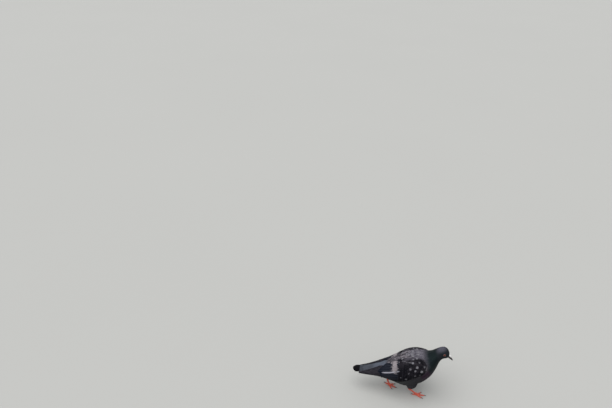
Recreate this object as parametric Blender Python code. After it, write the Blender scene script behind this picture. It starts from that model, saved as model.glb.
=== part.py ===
"""A life-size feral pigeon, still, in mid-walk: right foot forward, left foot behind, neck reaching forward.

One closed solid for each part that a person would name. The bird faces +X, its left side is +Y and the floor
is z = 0. It is modelled about the point midway between its feet, then moved so that its box is centred over
the origin.
"""

import math

import bmesh
import bpy
from mathutils import Matrix, Vector
from mathutils.bvhtree import BVHTree

MM = 0.001
GAP = 0.3 * MM  # clearance between neighbouring solids
WELD = 0.001 * MM  # points closer than this are one
BODY_SIDES = 22  # facets round the body
BODY_STEPS = 2  # rings laid between two named sections

# Each section runs from a point on the back to one on the belly side: back x, z, belly x, z, half width (mm).
RUMP_SECTIONS = (
    (-124, 76.2, -124, 73.4, 8),
    (-114, 78.8, -114, 71.5, 12),
    (-102, 82.6, -102, 65.5, 15),
    (-92, 86.5, -92, 60.5, 18),
    (-66, 102.5, -66, 54, 28),
    (-49, 114.5, -49, 48.5, 36),
)
TRUNK_SECTIONS = (
    (-31, 128, -31, 42.5, 43.5),
    (-9, 141, -9, 36.5, 52),
    (5, 148, 5, 35.5, 55.5),
    (19, 152.5, 19, 38, 56.5),
    (36, 155, 34, 44.5, 55.5),
    (50, 155.5, 52, 54, 51),
    (60, 156.5, 68, 66.5, 45),
)
NECK_SECTIONS = (
    (67, 159, 80, 79.5, 38.5),
    (75, 163.5, 88.5, 94.5, 32),
    (84, 171, 95, 110.5, 25.5),
    (93, 179, 99.5, 126.5, 20.5),
)
HEAD_SECTIONS = (
    (102.5, 185.5, 105, 139.5, 16.5),
    (112.5, 188, 110.5, 146, 15.2),
    (121, 184.5, 115.5, 148.5, 14),
    (126.5, 177.5, 119.5, 149.5, 11.8),
    (129.3, 170, 122.3, 150.5, 9),
    (129.8, 163.5, 124.3, 152, 6.2),
)
SHOULDER_BREADTH = 0.10  # how much wider the upper half of a section is than its lower half

# Where the folded wings lie behind the trunk, over the rump and tail: the same kind of rows.
WING_REST_SECTIONS = (
    (-156, 69, -156, 59, 17),
    (-140, 74, -140, 57.5, 20),
    (-116, 81, -116, 57, 23.5),
    (-91, 92, -91, 57, 28.5),
    (-66, 104.5, -66, 54, 33.5),
    (-49, 115.5, -49, 48.5, 38),
)
# Wing bands: x (mm), angle from the back's midline to the upper and to the lower edge (degrees), how far the
# feathers stand out from the body and how far the form reaches into it (mm).
WING_BANDS = (
    (66, 40, 70, 0.9, 2.0),
    (63, 32, 78, 2.6, 3.0),
    (57, 26, 84, 4.2, 4.0),
    (43, 20, 83, 5.2, 4.5),
    (26, 17, 89, 5.6, 5.0),
    (6, 15, 102, 5.6, 5.0),
    (-14, 13, 114, 5.2, 5.0),
    (-34, 12, 124, 4.8, 5.0),
    (-54, 13, 132, 4.4, 4.5),
    (-72, 17, 134, 4.0, 3.5),
    (-92, 30, 132, 3.2, 2.4),
    (-112, 46, 128, 2.6, 2.0),
    (-130, 60, 120, 1.8, 1.5),
    (-141, 70, 110, 1.3, 1.1),
    (-146, 80, 102, 0.9, 0.7),
)
BAND_EDGE = 0.85 * MM  # how far a band's two edges stand out
BAND_POINTS = 8  # across one face of a band
NARROW_RADIUS = 25 * MM  # of the body where a band's edge is widened sideways
SHIELD_END = (Vector((-64, 0, 80)) * MM, Vector((1, 0, -0.34)))  # plane where the quills leave the shield

# Tail: x, height of its ridge, half width, depth above and below that, droop of its sides (mm), base to tip.
TAIL_SECTIONS = (
    (-84, 75, 15, 4.2, 13.0, 2.0),
    (-104, 73.5, 16.2, 3.6, 7.5, 2.6),
    (-124, 71.5, 16.6, 2.6, 3.6, 3.0),
    (-144, 70, 17, 1.8, 1.8, 3.0),
    (-156, 69, 16.6, 1.2, 1.2, 2.8),
    (-162, 68.7, 14.6, 0.9, 0.9, 2.0),
    (-164.5, 68.6, 11.0, 0.6, 0.6, 1.2),
)
TAIL_POINTS = 9  # across one face of the tail

# Head furniture
EYE_RADIUS = 5.6 * MM
EYE_PLACE = Vector((113.5, 10.6, 169.5)) * MM
BILL_BASE = Vector((126.0, 0, 157.5)) * MM
BILL_DROP = math.radians(43)  # below the horizontal
UPPER_BILL_LENGTH = 22 * MM
LOWER_BILL_LENGTH = 19.2 * MM
GAPE = 0.3 * MM  # slit between the two halves of the closed bill
CERE = (  # along the bill, above its middle line, radius (mm)
    (-0.5, 3.9, 2.3),
    (2.2, 4.4, 3.0),
    (5.0, 4.1, 2.8),
    (7.4, 3.2, 2.0),
    (8.8, 2.5, 0.9),
)

# Legs: points for the knee, hock and foot, and the heading that the toes turn by (degrees, left is positive).
LEGS = {
    "right": {
        "knee": Vector((25, -25, 64)) * MM,
        "hock": Vector((17, -17, 25)) * MM,
        "foot": Vector((42, -16, 4.4)) * MM,
        "heading": 2,
    },
    "left": {
        "knee": Vector((-13, 25, 68)) * MM,
        "hock": Vector((-56, 17, 35.5)) * MM,
        "foot": Vector((-47, 16, 4.4)) * MM,
        "heading": -24,
    },
}
THIGH_RADII = (  # share of the way from knee to hock, radius (mm)
    (-0.08, 5),
    (0.0, 14),
    (0.14, 18.5),
    (0.34, 18.5),
    (0.56, 14.5),
    (0.76, 9.5),
    (0.86, 6.8),
    (0.93, 4.8),
)
FOOT_RADIUS = 4.6 * MM
SOLE_CUT = 0.55 * MM  # how much of a toe's underside is flattened on the floor
# Toes: direction from the foot's heading (degrees), length without the claw, radius at base and end (mm).
TOES = {
    "hallux": (176, 12.5, 2.1, 1.6),
    "inner": (38, 17.5, 2.3, 1.7),
    "middle": (0, 25, 2.5, 1.7),
    "outer": (-36, 19.5, 2.3, 1.7),
}
TOE_JOINTS = (  # share of the toe's length, how much thicker than its plain taper
    (0.0, 1.0),
    (0.3, 1.08),
    (0.5, 0.92),
    (0.76, 1.08),
    (1.0, 0.85),
)
TOE_RISE = 1.2 * MM  # of a toe's base over its end
CLAW_LENGTH = 6.4 * MM
CLAW_RADIUS = 1.35 * MM
CLAW_TAPER = 0.86  # share of its thickness that a claw loses by its point
CLAW_BEND = (math.radians(-6), math.radians(38))  # below the horizontal at the start and at the point
CLAW_RISE = 0.35 * MM  # of a claw's root over the middle of its toe
CLAW_CLEARANCE = 0.2 * MM  # least height over the floor
CLAW_STEPS = 5

FINISHES = {  # colour, roughness
    "slate": ((0.060, 0.060, 0.072), 0.75),
    "neck": ((0.035, 0.050, 0.052), 0.5),
    "black": ((0.022, 0.021, 0.026), 0.7),
    "quill": ((0.045, 0.042, 0.050), 0.6),
    "eye": ((0.55, 0.10, 0.02), 0.15),
    "bill": ((0.030, 0.027, 0.026), 0.4),
    "cere": ((0.62, 0.60, 0.58), 0.6),
    "leg": ((0.62, 0.10, 0.06), 0.5),
    "claw": ((0.030, 0.026, 0.024), 0.4),
}


# ---- shared tools ---------------------------------------------------------------------------------------


def clear_scene():
    for obj in list(bpy.data.objects):
        bpy.data.objects.remove(obj)


def new_collection(name):
    collection = bpy.data.collections.new(name)
    bpy.context.scene.collection.children.link(collection)
    return collection


def part_material(name, finish):
    colour, roughness = FINISHES[finish]
    material = bpy.data.materials.new(f"{name} {finish}")
    material.use_nodes = True
    shader = material.node_tree.nodes["Principled BSDF"]
    shader.inputs["Base Color"].default_value = (*colour, 1.0)
    shader.inputs["Roughness"].default_value = roughness
    shader.inputs["Metallic"].default_value = 0.0
    return material


def add_object(name, mesh, finish=None):
    """Puts a mesh in the model. With no finish it is a cutter, which the model itself leaves out."""
    obj = bpy.data.objects.new(name, mesh)
    obj.parent = STANCE
    if finish is None:
        obj.hide_render = True
        obj.display_type = "WIRE"
        CUTTERS.objects.link(obj)
        return obj
    mesh.materials.append(part_material(name, finish))
    mesh.shade_smooth()
    mesh.set_sharp_from_angle(angle=math.radians(40))
    PIGEON.objects.link(obj)
    return obj


def mesh_object(name, shape, finish=None):
    """An object from (vertices, faces), its faces turned outwards."""
    vertices, faces = shape
    mesh = bpy.data.meshes.new(name)
    mesh.from_pydata([tuple(v) for v in vertices], [], faces)
    builder = bmesh.new()
    builder.from_mesh(mesh)
    bmesh.ops.recalc_face_normals(builder, faces=builder.faces)
    builder.to_mesh(mesh)
    builder.free()
    return add_object(name, mesh, finish)


def round_object(name, points, radii, finish=None, extra=0.0, fineness=2):
    """A round form along a path, with a radius for each point: a curve with a bevel, made a mesh."""
    curve = bpy.data.curves.new(name, "CURVE")
    curve.dimensions = "3D"
    curve.bevel_depth = MM
    curve.bevel_resolution = fineness
    curve.use_fill_caps = True
    spline = curve.splines.new("POLY")
    spline.points.add(len(points) - 1)
    for knot, point, radius in zip(spline.points, points, radii):
        knot.co = (*point, 1.0)
        knot.radius = (radius + extra) / MM
    guide = bpy.data.objects.new(f"{name}_guide", curve)
    CUTTERS.objects.link(guide)
    bpy.context.view_layer.update()
    graph = bpy.context.evaluated_depsgraph_get()
    mesh = bpy.data.meshes.new_from_object(guide.evaluated_get(graph), depsgraph=graph)
    bpy.data.objects.remove(guide)
    builder = bmesh.new()
    builder.from_mesh(mesh)
    bmesh.ops.remove_doubles(builder, verts=builder.verts, dist=WELD)
    bmesh.ops.recalc_face_normals(builder, faces=builder.faces)
    builder.to_mesh(mesh)
    builder.free()
    return add_object(name, mesh, finish)


def boolean(obj, operation, *others):
    for other in others:
        modifier = obj.modifiers.new(f"{operation.lower()} {other.name}", "BOOLEAN")
        modifier.operation = operation
        modifier.object = other
        modifier.solver = "EXACT"
    return obj


def through(rows, steps):
    """Rows of numbers on a smooth curve through the given rows, with steps intervals between neighbours."""
    rows = [Vector(row) for row in rows]
    ends = [2 * rows[0] - rows[1], *rows, 2 * rows[-1] - rows[-2]]
    made = []
    for a, b, c, d in zip(ends, ends[1:], ends[2:], ends[3:]):
        for i in range(steps):
            t = i / steps
            bend = (2 * a - 5 * b + 4 * c - d) * t * t + (3 * b - a - 3 * c + d) * t**3
            made.append((2 * b + (c - a) * t + bend) / 2)
    return [*made, rows[-1]]


def loft(rings):
    """A closed shape through rings of equal length, with a flat cap on each end."""
    count = len(rings[0])
    vertices = [point for ring in rings for point in ring]
    faces = []
    for r in range(len(rings) - 1):
        for i in range(count):
            j = (i + 1) % count
            first, second = r * count, (r + 1) * count
            faces.append((first + i, first + j, second + j, second + i))
    faces.append(tuple(range(count)))
    faces.append(tuple(range((len(rings) - 1) * count, len(rings) * count)))
    return vertices, faces


def ball(centre, radius, segments=14, rings=9, squash=(1, 1, 1)):
    builder = bmesh.new()
    bmesh.ops.create_uvsphere(builder, u_segments=segments, v_segments=rings, radius=radius)
    vertices = [centre + Vector(map(lambda a, b: a * b, v.co, squash)) for v in builder.verts]
    faces = [tuple(v.index for v in face.verts) for face in builder.faces]
    builder.free()
    return vertices, faces


def half_space(name, point, normal, size=400 * MM):
    """A large block with one face on the plane through point, on the side that normal points to."""
    turn = normal.to_track_quat("Z", "Y").to_matrix().to_4x4()
    place = Matrix.Translation(point) @ turn
    builder = bmesh.new()
    bmesh.ops.create_cube(builder, size=size, matrix=Matrix.Translation((0, 0, size / 2)))
    vertices = [place @ v.co for v in builder.verts]
    faces = [tuple(v.index for v in face.verts) for face in builder.faces]
    builder.free()
    return mesh_object(name, (vertices, faces))


# ---- head, neck and trunk -------------------------------------------------------------------------------


def section_ring(row, extra=0.0):
    """One closed section of the body, in a plane that holds the Y axis."""
    back, belly = Vector((row[0], 0, row[1])) * MM, Vector((row[2], 0, row[3])) * MM
    centre, upward = (back + belly) / 2, (back - belly) / 2
    half_height = upward.length + extra
    upward.normalize()
    half_width = row[4] * MM + extra
    ring = []
    for k in range(BODY_SIDES):
        turn = math.tau * k / BODY_SIDES
        breadth = half_width * (1 + SHOULDER_BREADTH * math.cos(turn))
        ring.append(centre + upward * half_height * math.cos(turn) + Vector((0, breadth * math.sin(turn), 0)))
    return ring


def section_normal(row):
    """The direction from tail to head that a section's plane faces."""
    upward = Vector((row[0] - row[2], 0, row[1] - row[3])).normalized()
    return Vector((upward.z, 0, -upward.x))


def body_form(name, finish, sections, from_neighbour=None, extra=0.0):
    """The body along these sections. It starts a gap ahead of from_neighbour, the last section behind it."""
    named = sections if from_neighbour is None else (from_neighbour, *sections)
    rows = through(named, BODY_STEPS)
    rings = [section_ring(row, extra) for row in rows]
    if from_neighbour is not None:
        step = section_normal(from_neighbour) * GAP
        rings[0] = [point + step for point in rings[0]]
    if extra:
        for end, row, sign in ((0, rows[0], -1), (-1, rows[-1], 1)):
            step = section_normal(row) * sign * extra
            rings[end] = [point + step for point in rings[end]]
    return mesh_object(name, loft(rings), finish)


def build_body():
    trunk = (*RUMP_SECTIONS, *TRUNK_SECTIONS)
    body_form("trunk", "slate", trunk)
    body_form("neck", "neck", NECK_SECTIONS, TRUNK_SECTIONS[-1])
    head = body_form("head", "slate", HEAD_SECTIONS, NECK_SECTIONS[-1])
    for side, sign in (("right", -1), ("left", 1)):
        place = Vector((EYE_PLACE.x, sign * EYE_PLACE.y, EYE_PLACE.z))
        mesh_object(f"eye_{side}", ball(place, EYE_RADIUS), "eye")
        socket = mesh_object(f"socket_{side}", ball(place, EYE_RADIUS + GAP))
        boolean(head, "DIFFERENCE", socket)


# ---- bill and cere --------------------------------------------------------------------------------------


def bill_ring(along, top, bottom, half_width, sides=12):
    """A section of one half of the bill, at a place along it, between its top and bottom (metres)."""
    axis = Vector((math.cos(BILL_DROP), 0, -math.sin(BILL_DROP)))
    upward = Vector((math.sin(BILL_DROP), 0, math.cos(BILL_DROP)))
    centre, half = (top + bottom) / 2, (top - bottom) / 2
    ring = []
    for k in range(sides):
        turn = math.tau * (k + 0.5) / sides
        rise = centre + half * math.copysign(abs(math.cos(turn)) ** 0.8, math.cos(turn))
        ring.append(BILL_BASE + axis * along + upward * rise + Vector((0, half_width * math.sin(turn), 0)))
    return ring


def bill_shape(upper, extra=0.0):
    """Rows: share of the length, top, bottom, half width (mm). The upper half hooks over the lower one."""
    if upper:
        length = UPPER_BILL_LENGTH
        rows = (
            (0.06, 4.0, 0.0, 3.4),
            (0.3, 3.6, 0.0, 3.0),
            (0.5, 3.0, 0.0, 2.5),
            (0.68, 2.7, 0.0, 2.2),
            (0.82, 2.1, -0.2, 1.8),
            (0.92, 1.2, -1.0, 1.3),
            (0.98, 0.1, -1.6, 0.8),
            (1.0, -0.7, -1.7, 0.4),
        )
    else:
        length = LOWER_BILL_LENGTH
        rows = (
            (0.06, 0.0, -2.7, 3.2),
            (0.3, 0.0, -2.6, 2.7),
            (0.55, 0.0, -2.3, 2.1),
            (0.78, 0.0, -1.9, 1.6),
            (0.93, -0.1, -1.5, 1.0),
            (1.0, -0.4, -1.1, 0.5),
        )
    shift = 0.0 if upper else -GAPE
    rings = []
    for share, top, bottom, half_width in rows:
        reach = (top * MM + shift + extra, bottom * MM + shift - extra)
        rings.append(bill_ring(share * length, *reach, half_width * MM + extra))
    return loft(rings)


def build_bill():
    head_cutter = bpy.data.objects["body_clearance"]
    upper = mesh_object("bill_upper", bill_shape(True), "bill")
    lower = mesh_object("bill_lower", bill_shape(False), "bill")
    upper_clearance = mesh_object("bill_upper_clearance", bill_shape(True, GAP))
    boolean(upper, "DIFFERENCE", head_cutter)
    boolean(lower, "DIFFERENCE", head_cutter, upper_clearance)
    axis = Vector((math.cos(BILL_DROP), 0, -math.sin(BILL_DROP)))
    upward = Vector((math.sin(BILL_DROP), 0, math.cos(BILL_DROP)))
    path = [BILL_BASE + axis * along * MM + upward * rise * MM for along, rise, _ in CERE]
    cere = round_object("cere", path, [radius * MM for _, _, radius in CERE], "cere", fineness=4)
    boolean(cere, "DIFFERENCE", head_cutter, upper_clearance)


# ---- wings and tail -------------------------------------------------------------------------------------


def wing_rest():
    """Finds the surface that a folded wing lies on: the body, carried back over the rump and tail."""
    rows = through((*WING_REST_SECTIONS, *TRUNK_SECTIONS, *NECK_SECTIONS), 3)
    vertices, faces = loft([section_ring(row) for row in rows])
    tree = BVHTree.FromPolygons([tuple(v) for v in vertices], faces)
    centres = [((row[0] + row[2]) / 2 * MM, (row[1] + row[3]) / 2 * MM) for row in rows]

    def point(x, angle, side, stand_out):
        (x0, z0), (x1, z1) = next(pair for pair in zip(centres, centres[1:]) if x <= pair[1][0])
        height = z0 + (z1 - z0) * (x - x0) / (x1 - x0)
        start, way = Vector((x, 0, height)), Vector((0, side * math.sin(angle), math.cos(angle)))
        hit = tree.ray_cast(start, way)[0]
        return hit + way * stand_out

    return point


def wing_shape(rest, side, extra=0.0):
    rings = []
    rows = through(WING_BANDS, BODY_STEPS)
    for i, (x, top, bottom, stand_out, reach_in) in enumerate(rows):
        x = x * MM + extra * ((i == 0) - (i == len(rows) - 1))
        outer, inner = [], []
        for k in range(BAND_POINTS):
            across = 2 * k / (BAND_POINTS - 1) - 1
            angle = math.radians(top + (bottom - top) * (across + 1) / 2) + across * extra / NARROW_RADIUS
            crown = math.sqrt(max(0.0, 1 - across * across))
            edge = min(BAND_EDGE, stand_out * MM)
            outer.append(rest(x, angle, side, edge + (stand_out * MM - edge) * crown + extra))
            inner.append(rest(x, angle, side, -reach_in * MM - extra))
        rings.append(outer + inner[::-1])
    return loft(rings)


def tail_shape(extra=0.0):
    rings = []
    rows = through(TAIL_SECTIONS, BODY_STEPS)
    for i, (x, ridge, half_width, above, below, droop) in enumerate(rows):
        x = x * MM + extra * ((i == 0) - (i == len(rows) - 1))
        upper, lower = [], []
        for k in range(TAIL_POINTS):
            across = 2 * k / (TAIL_POINTS - 1) - 1
            middle = ridge * MM - droop * MM * across * across
            fullness = 0.45 + 0.55 * math.sqrt(1 - across * across)
            y = across * (half_width * MM + extra)
            upper.append(Vector((x, y, middle + above * MM * fullness + extra)))
            lower.append(Vector((x, y, middle - below * MM * fullness - extra)))
        rings.append(upper + lower[::-1])
    return loft(rings)


def build_wings_and_tail():
    body_clearance = body_form(
        "body_clearance", None, (*RUMP_SECTIONS, *TRUNK_SECTIONS, *NECK_SECTIONS, *HEAD_SECTIONS), extra=GAP
    )
    boolean(mesh_object("tail", tail_shape(), "quill"), "DIFFERENCE", body_clearance)
    tail_clearance = mesh_object("tail_clearance", tail_shape(GAP))
    rest = wing_rest()
    plane_point, plane_normal = SHIELD_END
    ahead = half_space("ahead_of_quills", plane_point - plane_normal.normalized() * GAP, plane_normal)
    behind = half_space("behind_shield", plane_point, -plane_normal)
    for side, sign in (("right", -1), ("left", 1)):
        shape = wing_shape(rest, sign)
        shield = mesh_object(f"wing_shield_{side}", shape, "black")
        boolean(shield, "DIFFERENCE", behind, body_clearance, tail_clearance)
        quills = mesh_object(f"wing_quills_{side}", shape, "quill")
        boolean(quills, "DIFFERENCE", ahead, body_clearance, tail_clearance)
        mesh_object(f"wing_clearance_{side}", wing_shape(rest, sign, GAP))


# ---- legs -----------------------------------------------------------------------------------------------


def along_leg(leg, share):
    return leg["knee"].lerp(leg["hock"], share)


def shank_path(leg):
    """The bare part of the leg: points from inside the feathered part, round the hock, down to the foot."""
    hock, foot = leg["hock"], leg["foot"]
    upward, downward = (leg["knee"] - hock).normalized(), (foot - hock).normalized()
    return [
        hock + upward * 9 * MM,
        hock + upward * 4.5 * MM,
        hock + (upward + downward) * 0.5 * MM,
        hock + downward * 5 * MM,
        hock.lerp(foot, 0.35),
        hock.lerp(foot, 0.85),
        foot,
    ]


SHANK_RADII = [r * MM for r in (2.4, 3.0, 3.4, 3.0, 2.3, 2.3, 3.0)]


def toe_path(leg, toe):
    """A toe from the foot's middle to its claw, a little swollen at its joints and let into the floor."""
    turn, length, base, end = TOES[toe]
    heading = math.radians(leg["heading"] + turn)
    way = Vector((math.cos(heading), math.sin(heading), 0))
    points, radii = [], []
    for share, swell in TOE_JOINTS:
        radius = (base + (end - base) * share) * MM
        lift = (1 - share) ** 2 * TOE_RISE
        place = leg["foot"] + way * length * MM * share
        points.append(Vector((place.x, place.y, radius - SOLE_CUT + lift)))
        radii.append(radius * swell)
    return points, radii, way


def claw_path(start, way, radius):
    """A claw that leaves its toe level and bends down to just above the floor."""
    points, radii = [start + way * GAP + Vector((0, 0, CLAW_RISE))], [radius]
    for i in range(1, CLAW_STEPS + 1):
        share = i / CLAW_STEPS
        bend = CLAW_BEND[0] + (CLAW_BEND[1] - CLAW_BEND[0]) * share
        step = way * math.cos(bend) - Vector((0, 0, math.sin(bend)))
        points.append(points[-1] + step * CLAW_LENGTH / CLAW_STEPS)
        radii.append(radius * (1 - CLAW_TAPER * share**1.3))
    lowest = min(point.z - radius for point, radius in zip(points, radii))
    lift = Vector((0, 0, max(0.0, CLAW_CLEARANCE - lowest)))
    return [point + lift for point in points], radii


def build_foot(side, leg):
    """The toes joined to the ball of the foot, and the claws. It returns the same shape a gap larger."""
    squash = (1, 1, 0.95)
    foot = mesh_object(f"foot_{side}", ball(leg["foot"], FOOT_RADIUS, 14, 8, squash), "leg")
    clearance = mesh_object(f"foot_clearance_{side}", ball(leg["foot"], FOOT_RADIUS + GAP, 14, 8, squash))
    for toe in TOES:
        points, radii, way = toe_path(leg, toe)
        boolean(foot, "UNION", round_object(f"toe_{toe}_{side}", points, radii))
        boolean(clearance, "UNION", round_object(f"toe_clearance_{toe}_{side}", points, radii, extra=GAP))
        claw = claw_path(points[-1], way, min(CLAW_RADIUS, radii[-1]))
        round_object(f"claw_{toe}_{side}", *claw, "claw")
    return foot, clearance


def build_leg(side, floor):
    leg = LEGS[side]
    rows = through([(*along_leg(leg, share), radius * MM) for share, radius in THIGH_RADII], 2)
    path, radii = [Vector(row[:3]) for row in rows], [row[3] for row in rows]
    thigh = round_object(f"thigh_{side}", path, radii, "slate", fineness=5)
    shank = round_object(f"shank_{side}", shank_path(leg), SHANK_RADII, "leg", fineness=3)
    clearance = round_object(f"shank_clearance_{side}", shank_path(leg), SHANK_RADII, extra=GAP, fineness=3)
    wing_clearance = bpy.data.objects[f"wing_clearance_{side}"]
    boolean(thigh, "DIFFERENCE", bpy.data.objects["body_clearance"], wing_clearance, clearance)
    foot, foot_clearance = build_foot(side, leg)
    boolean(foot, "DIFFERENCE", floor)
    boolean(shank, "DIFFERENCE", foot_clearance)


# ---- the whole bird -------------------------------------------------------------------------------------


def centre_on_origin():
    """Moves the bird along X and Y so that its box is centred over the origin."""
    bpy.context.view_layer.update()
    graph = bpy.context.evaluated_depsgraph_get()
    corners = []
    for obj in PIGEON.objects:
        evaluated = obj.evaluated_get(graph)
        corners += [evaluated.matrix_world @ Vector(corner) for corner in evaluated.bound_box]
    middle = [(min(c[i] for c in corners) + max(c[i] for c in corners)) / 2 for i in (0, 1)]
    STANCE.location = (-middle[0], -middle[1], 0)


clear_scene()
PIGEON = new_collection("pigeon")
CUTTERS = new_collection("cutters")
STANCE = bpy.data.objects.new("stance", None)
bpy.context.scene.collection.objects.link(STANCE)
build_body()
build_wings_and_tail()
build_bill()
FLOOR = half_space("floor", Vector((0, 0, 0)), Vector((0, 0, -1)))
for SIDE in LEGS:
    build_leg(SIDE, FLOOR)
centre_on_origin()
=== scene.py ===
"""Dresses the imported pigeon: one skin over its flesh, a coat of vanes laid along it, bill, cere, eyes and claws."""

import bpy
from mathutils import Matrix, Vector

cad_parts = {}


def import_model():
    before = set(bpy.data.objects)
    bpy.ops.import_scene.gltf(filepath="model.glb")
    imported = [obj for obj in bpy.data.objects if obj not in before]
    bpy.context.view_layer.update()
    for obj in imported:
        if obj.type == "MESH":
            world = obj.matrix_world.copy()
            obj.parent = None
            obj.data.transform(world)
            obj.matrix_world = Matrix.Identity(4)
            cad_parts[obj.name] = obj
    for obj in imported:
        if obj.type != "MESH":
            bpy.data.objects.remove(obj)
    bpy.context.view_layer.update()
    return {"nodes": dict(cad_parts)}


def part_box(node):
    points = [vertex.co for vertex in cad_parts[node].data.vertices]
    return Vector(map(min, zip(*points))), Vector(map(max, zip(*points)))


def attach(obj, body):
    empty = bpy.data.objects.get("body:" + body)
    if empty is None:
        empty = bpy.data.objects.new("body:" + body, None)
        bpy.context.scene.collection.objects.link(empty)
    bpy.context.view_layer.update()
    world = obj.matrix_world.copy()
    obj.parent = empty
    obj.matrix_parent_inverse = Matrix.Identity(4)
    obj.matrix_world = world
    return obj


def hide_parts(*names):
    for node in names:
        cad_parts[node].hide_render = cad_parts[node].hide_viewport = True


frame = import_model()

import math
from collections import namedtuple

import bmesh
import bpy
import numpy as np
from bpy.props import FloatProperty, FloatVectorProperty, PointerProperty
from mathutils import Vector
from mathutils.bvhtree import BVHTree

bl_info = {
    "name": "Pigeon dresser",
    "version": (1, 0, 0),
    "blender": (4, 5, 0),
    "location": "3D View > Sidebar > Pigeon",
    "description": "Lays skin and plumage over a pigeon's solids",
    "category": "Object",
}

# Lengths below are millimetres from the mid-point between the feet, X forward, Y to the bird's left, Z up.
MM = 0.001
EYE_X = 113.5
SIDES = {"right": -1.0, "left": 1.0}
# Seeds of the random draws.
ROOTS_SEED, COAT_SEED, STRIP_SEED, COVERTS_SEED, ROW_SEED, QUILLS_SEED = 7, 20, 33, 40, 60, 90


def both(*names):
    """The names of the right and left node of each pair."""
    return [f"{name}_{side}" for name in names for side in SIDES]


FLESH = ["trunk", "neck", "head", "tail", *both("thigh", "wing_shield", "wing_quills")]
EYE_BOXES = {side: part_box(f"eye_{side}") for side in SIDES}
STANCE_X = (EYE_BOXES["right"][0].x + EYE_BOXES["right"][1].x) / 2 - EYE_X * MM


def stance(points):
    """World metres to millimetres from the mid-point between the feet."""
    return (np.asarray(points, float) - (STANCE_X, 0.0, 0.0)) / MM


def world(points):
    """The other way round."""
    return np.asarray(points, float) * MM + (STANCE_X, 0.0, 0.0)


EYES = {side: (stance(low) + stance(high)) / 2 for side, (low, high) in EYE_BOXES.items()}
EYE_RADIUS = float(stance(EYE_BOXES["right"][1])[2] - EYES["right"][2])
BILL_ROOT = np.array((126.0, 0.0, 157.5))

# The coat along the bird, from bill to tail: x, z, then spacing, length, half width and depth of the vanes.
LINE = np.array([
    (126, 157, 0.56, 2.9, 0.36, 0.4),
    (120, 164, 0.64, 3.7, 0.44, 0.6),
    (110, 168, 0.82, 5.4, 0.6, 0.9),
    (97, 150, 1.15, 8.0, 0.9, 1.4),
    (84, 130, 1.5, 10.5, 1.3, 2.0),
    (65, 112, 2.0, 13.5, 1.9, 2.6),
    (40, 102, 2.5, 15.5, 2.6, 3.0),
    (10, 93, 2.8, 16.5, 3.0, 3.0),
    (-35, 86, 2.8, 16.5, 3.0, 2.6),
    (-75, 80, 2.6, 15.0, 2.7, 2.0),
    (-110, 74, 2.6, 16.0, 2.7, 1.2),
    (-165, 69, 2.6, 16.0, 2.7, 0.6),
], float)
# The coat fans out from the bill within this reach of it, and turns down the thighs below this height.
NEAR_BILL, THIGH_TOP = 34.0, 50.0
THIGH_FALL = np.array((-0.45, 0.0, -0.9))
# Every vane lies this far inside the form, so that the coat stays within the solids.
SINK = 0.12
# What a place belongs to, as the shaders read it; 0 is the body.
COVERT, SECONDARY, PRIMARY, RECTRIX = 1.0, 2.0, 3.0, 4.0
# Light flecks: X, distance from the middle, Z, radius, strength.
FLECKS = (
    (14.2, 51.6, 131.4, 5.5, 0.55), (34.4, 48.3, 138.7, 5.0, 0.9), (29.8, 54.6, 129.0, 4.8, 0.6),
    (49.1, 52.7, 127.6, 5.8, 0.8), (10.5, 57.2, 118.5, 4.4, 0.45), (30.5, 59.0, 113.3, 4.8, 0.45),
    (4.0, 59.0, 96.5, 5.2, 0.5), (-12.0, 54.9, 97.5, 4.2, 0.3), (-9.7, 24.4, 138.7, 5.5, 0.45),
    (-4.0, 28.5, 140.2, 4.2, 0.34), (1.6, 32.3, 141.5, 4.5, 0.34), (7.0, 34.0, 143.0, 4.0, 0.32),
    (12.1, 35.8, 144.2, 4.5, 0.36), (16.5, 37.2, 145.0, 4.2, 0.4), (21.1, 38.7, 145.6, 5.2, 0.7),
    (21.4, 26.6, 150.6, 4.4, 0.6), (32.4, 22.9, 152.6, 4.8, 0.7), (56.5, 43.5, 139.5, 5.0, 0.45),
    (40.0, 36.0, 147.5, 4.5, 0.4), (-17.0, 45.0, 122.0, 4.5, 0.25), (44.0, 56.0, 116.0, 4.5, 0.4),
    (-23.0, 24.4, 130.8, 4.8, 0.85), (-11.8, 14.3, 138.5, 5.0, 0.75), (0.6, 3.5, 145.5, 5.0, 0.5),
    (8.0, 5.0, 148.0, 4.5, 0.5), (20.0, 11.6, 151.0, 5.0, 0.8), (17.6, 3.6, 151.6, 4.0, 0.8),
    (36.4, 5.8, 154.3, 5.0, 0.65),
)
# The slanted ring at the foot of the neck: a point on it and its normal, X and Z.
NECK_FOOT, NECK_LEAN = (62.0, 156.0), (0.91, 0.41)


def unit(vectors):
    return vectors / np.maximum(np.linalg.norm(vectors, axis=-1, keepdims=True), 1e-9)


def ease(values, low, high):
    """0 below low, 1 above high, with a soft step between; low may be the greater."""
    t = np.clip((np.asarray(values, float) - low) / (high - low), 0, 1)
    return t * t * (3 - 2 * t)


def smoothed(values, rounds=2):
    """Rows averaged with their neighbours, the ends held."""
    for _ in range(rounds):
        values = np.concatenate([values[:1], (values[:-2] + 2 * values[1:-1] + values[2:]) / 4, values[-1:]])
    return values


def between(table, i, j):
    """The rows of a table at fractional places; past its ends in j it runs on in the same direction."""
    i0, j0 = (np.clip(at.astype(int), 0, size - 2) for at, size in zip((i, j), table.shape))
    a, b = (i - i0)[..., None], (j - j0)[..., None]
    before, after = (table[row, j0] * (1 - b) + table[row, j0 + 1] * b for row in (i0, i0 + 1))
    return before * (1 - a) + after * a


def neck_height(x, z):
    """Millimetres up the neck from the ring at its foot, for numbers or for sockets."""
    return (x - NECK_FOOT[0]) * NECK_LEAN[0] + (z - NECK_FOOT[1]) * NECK_LEAN[1]


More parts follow.
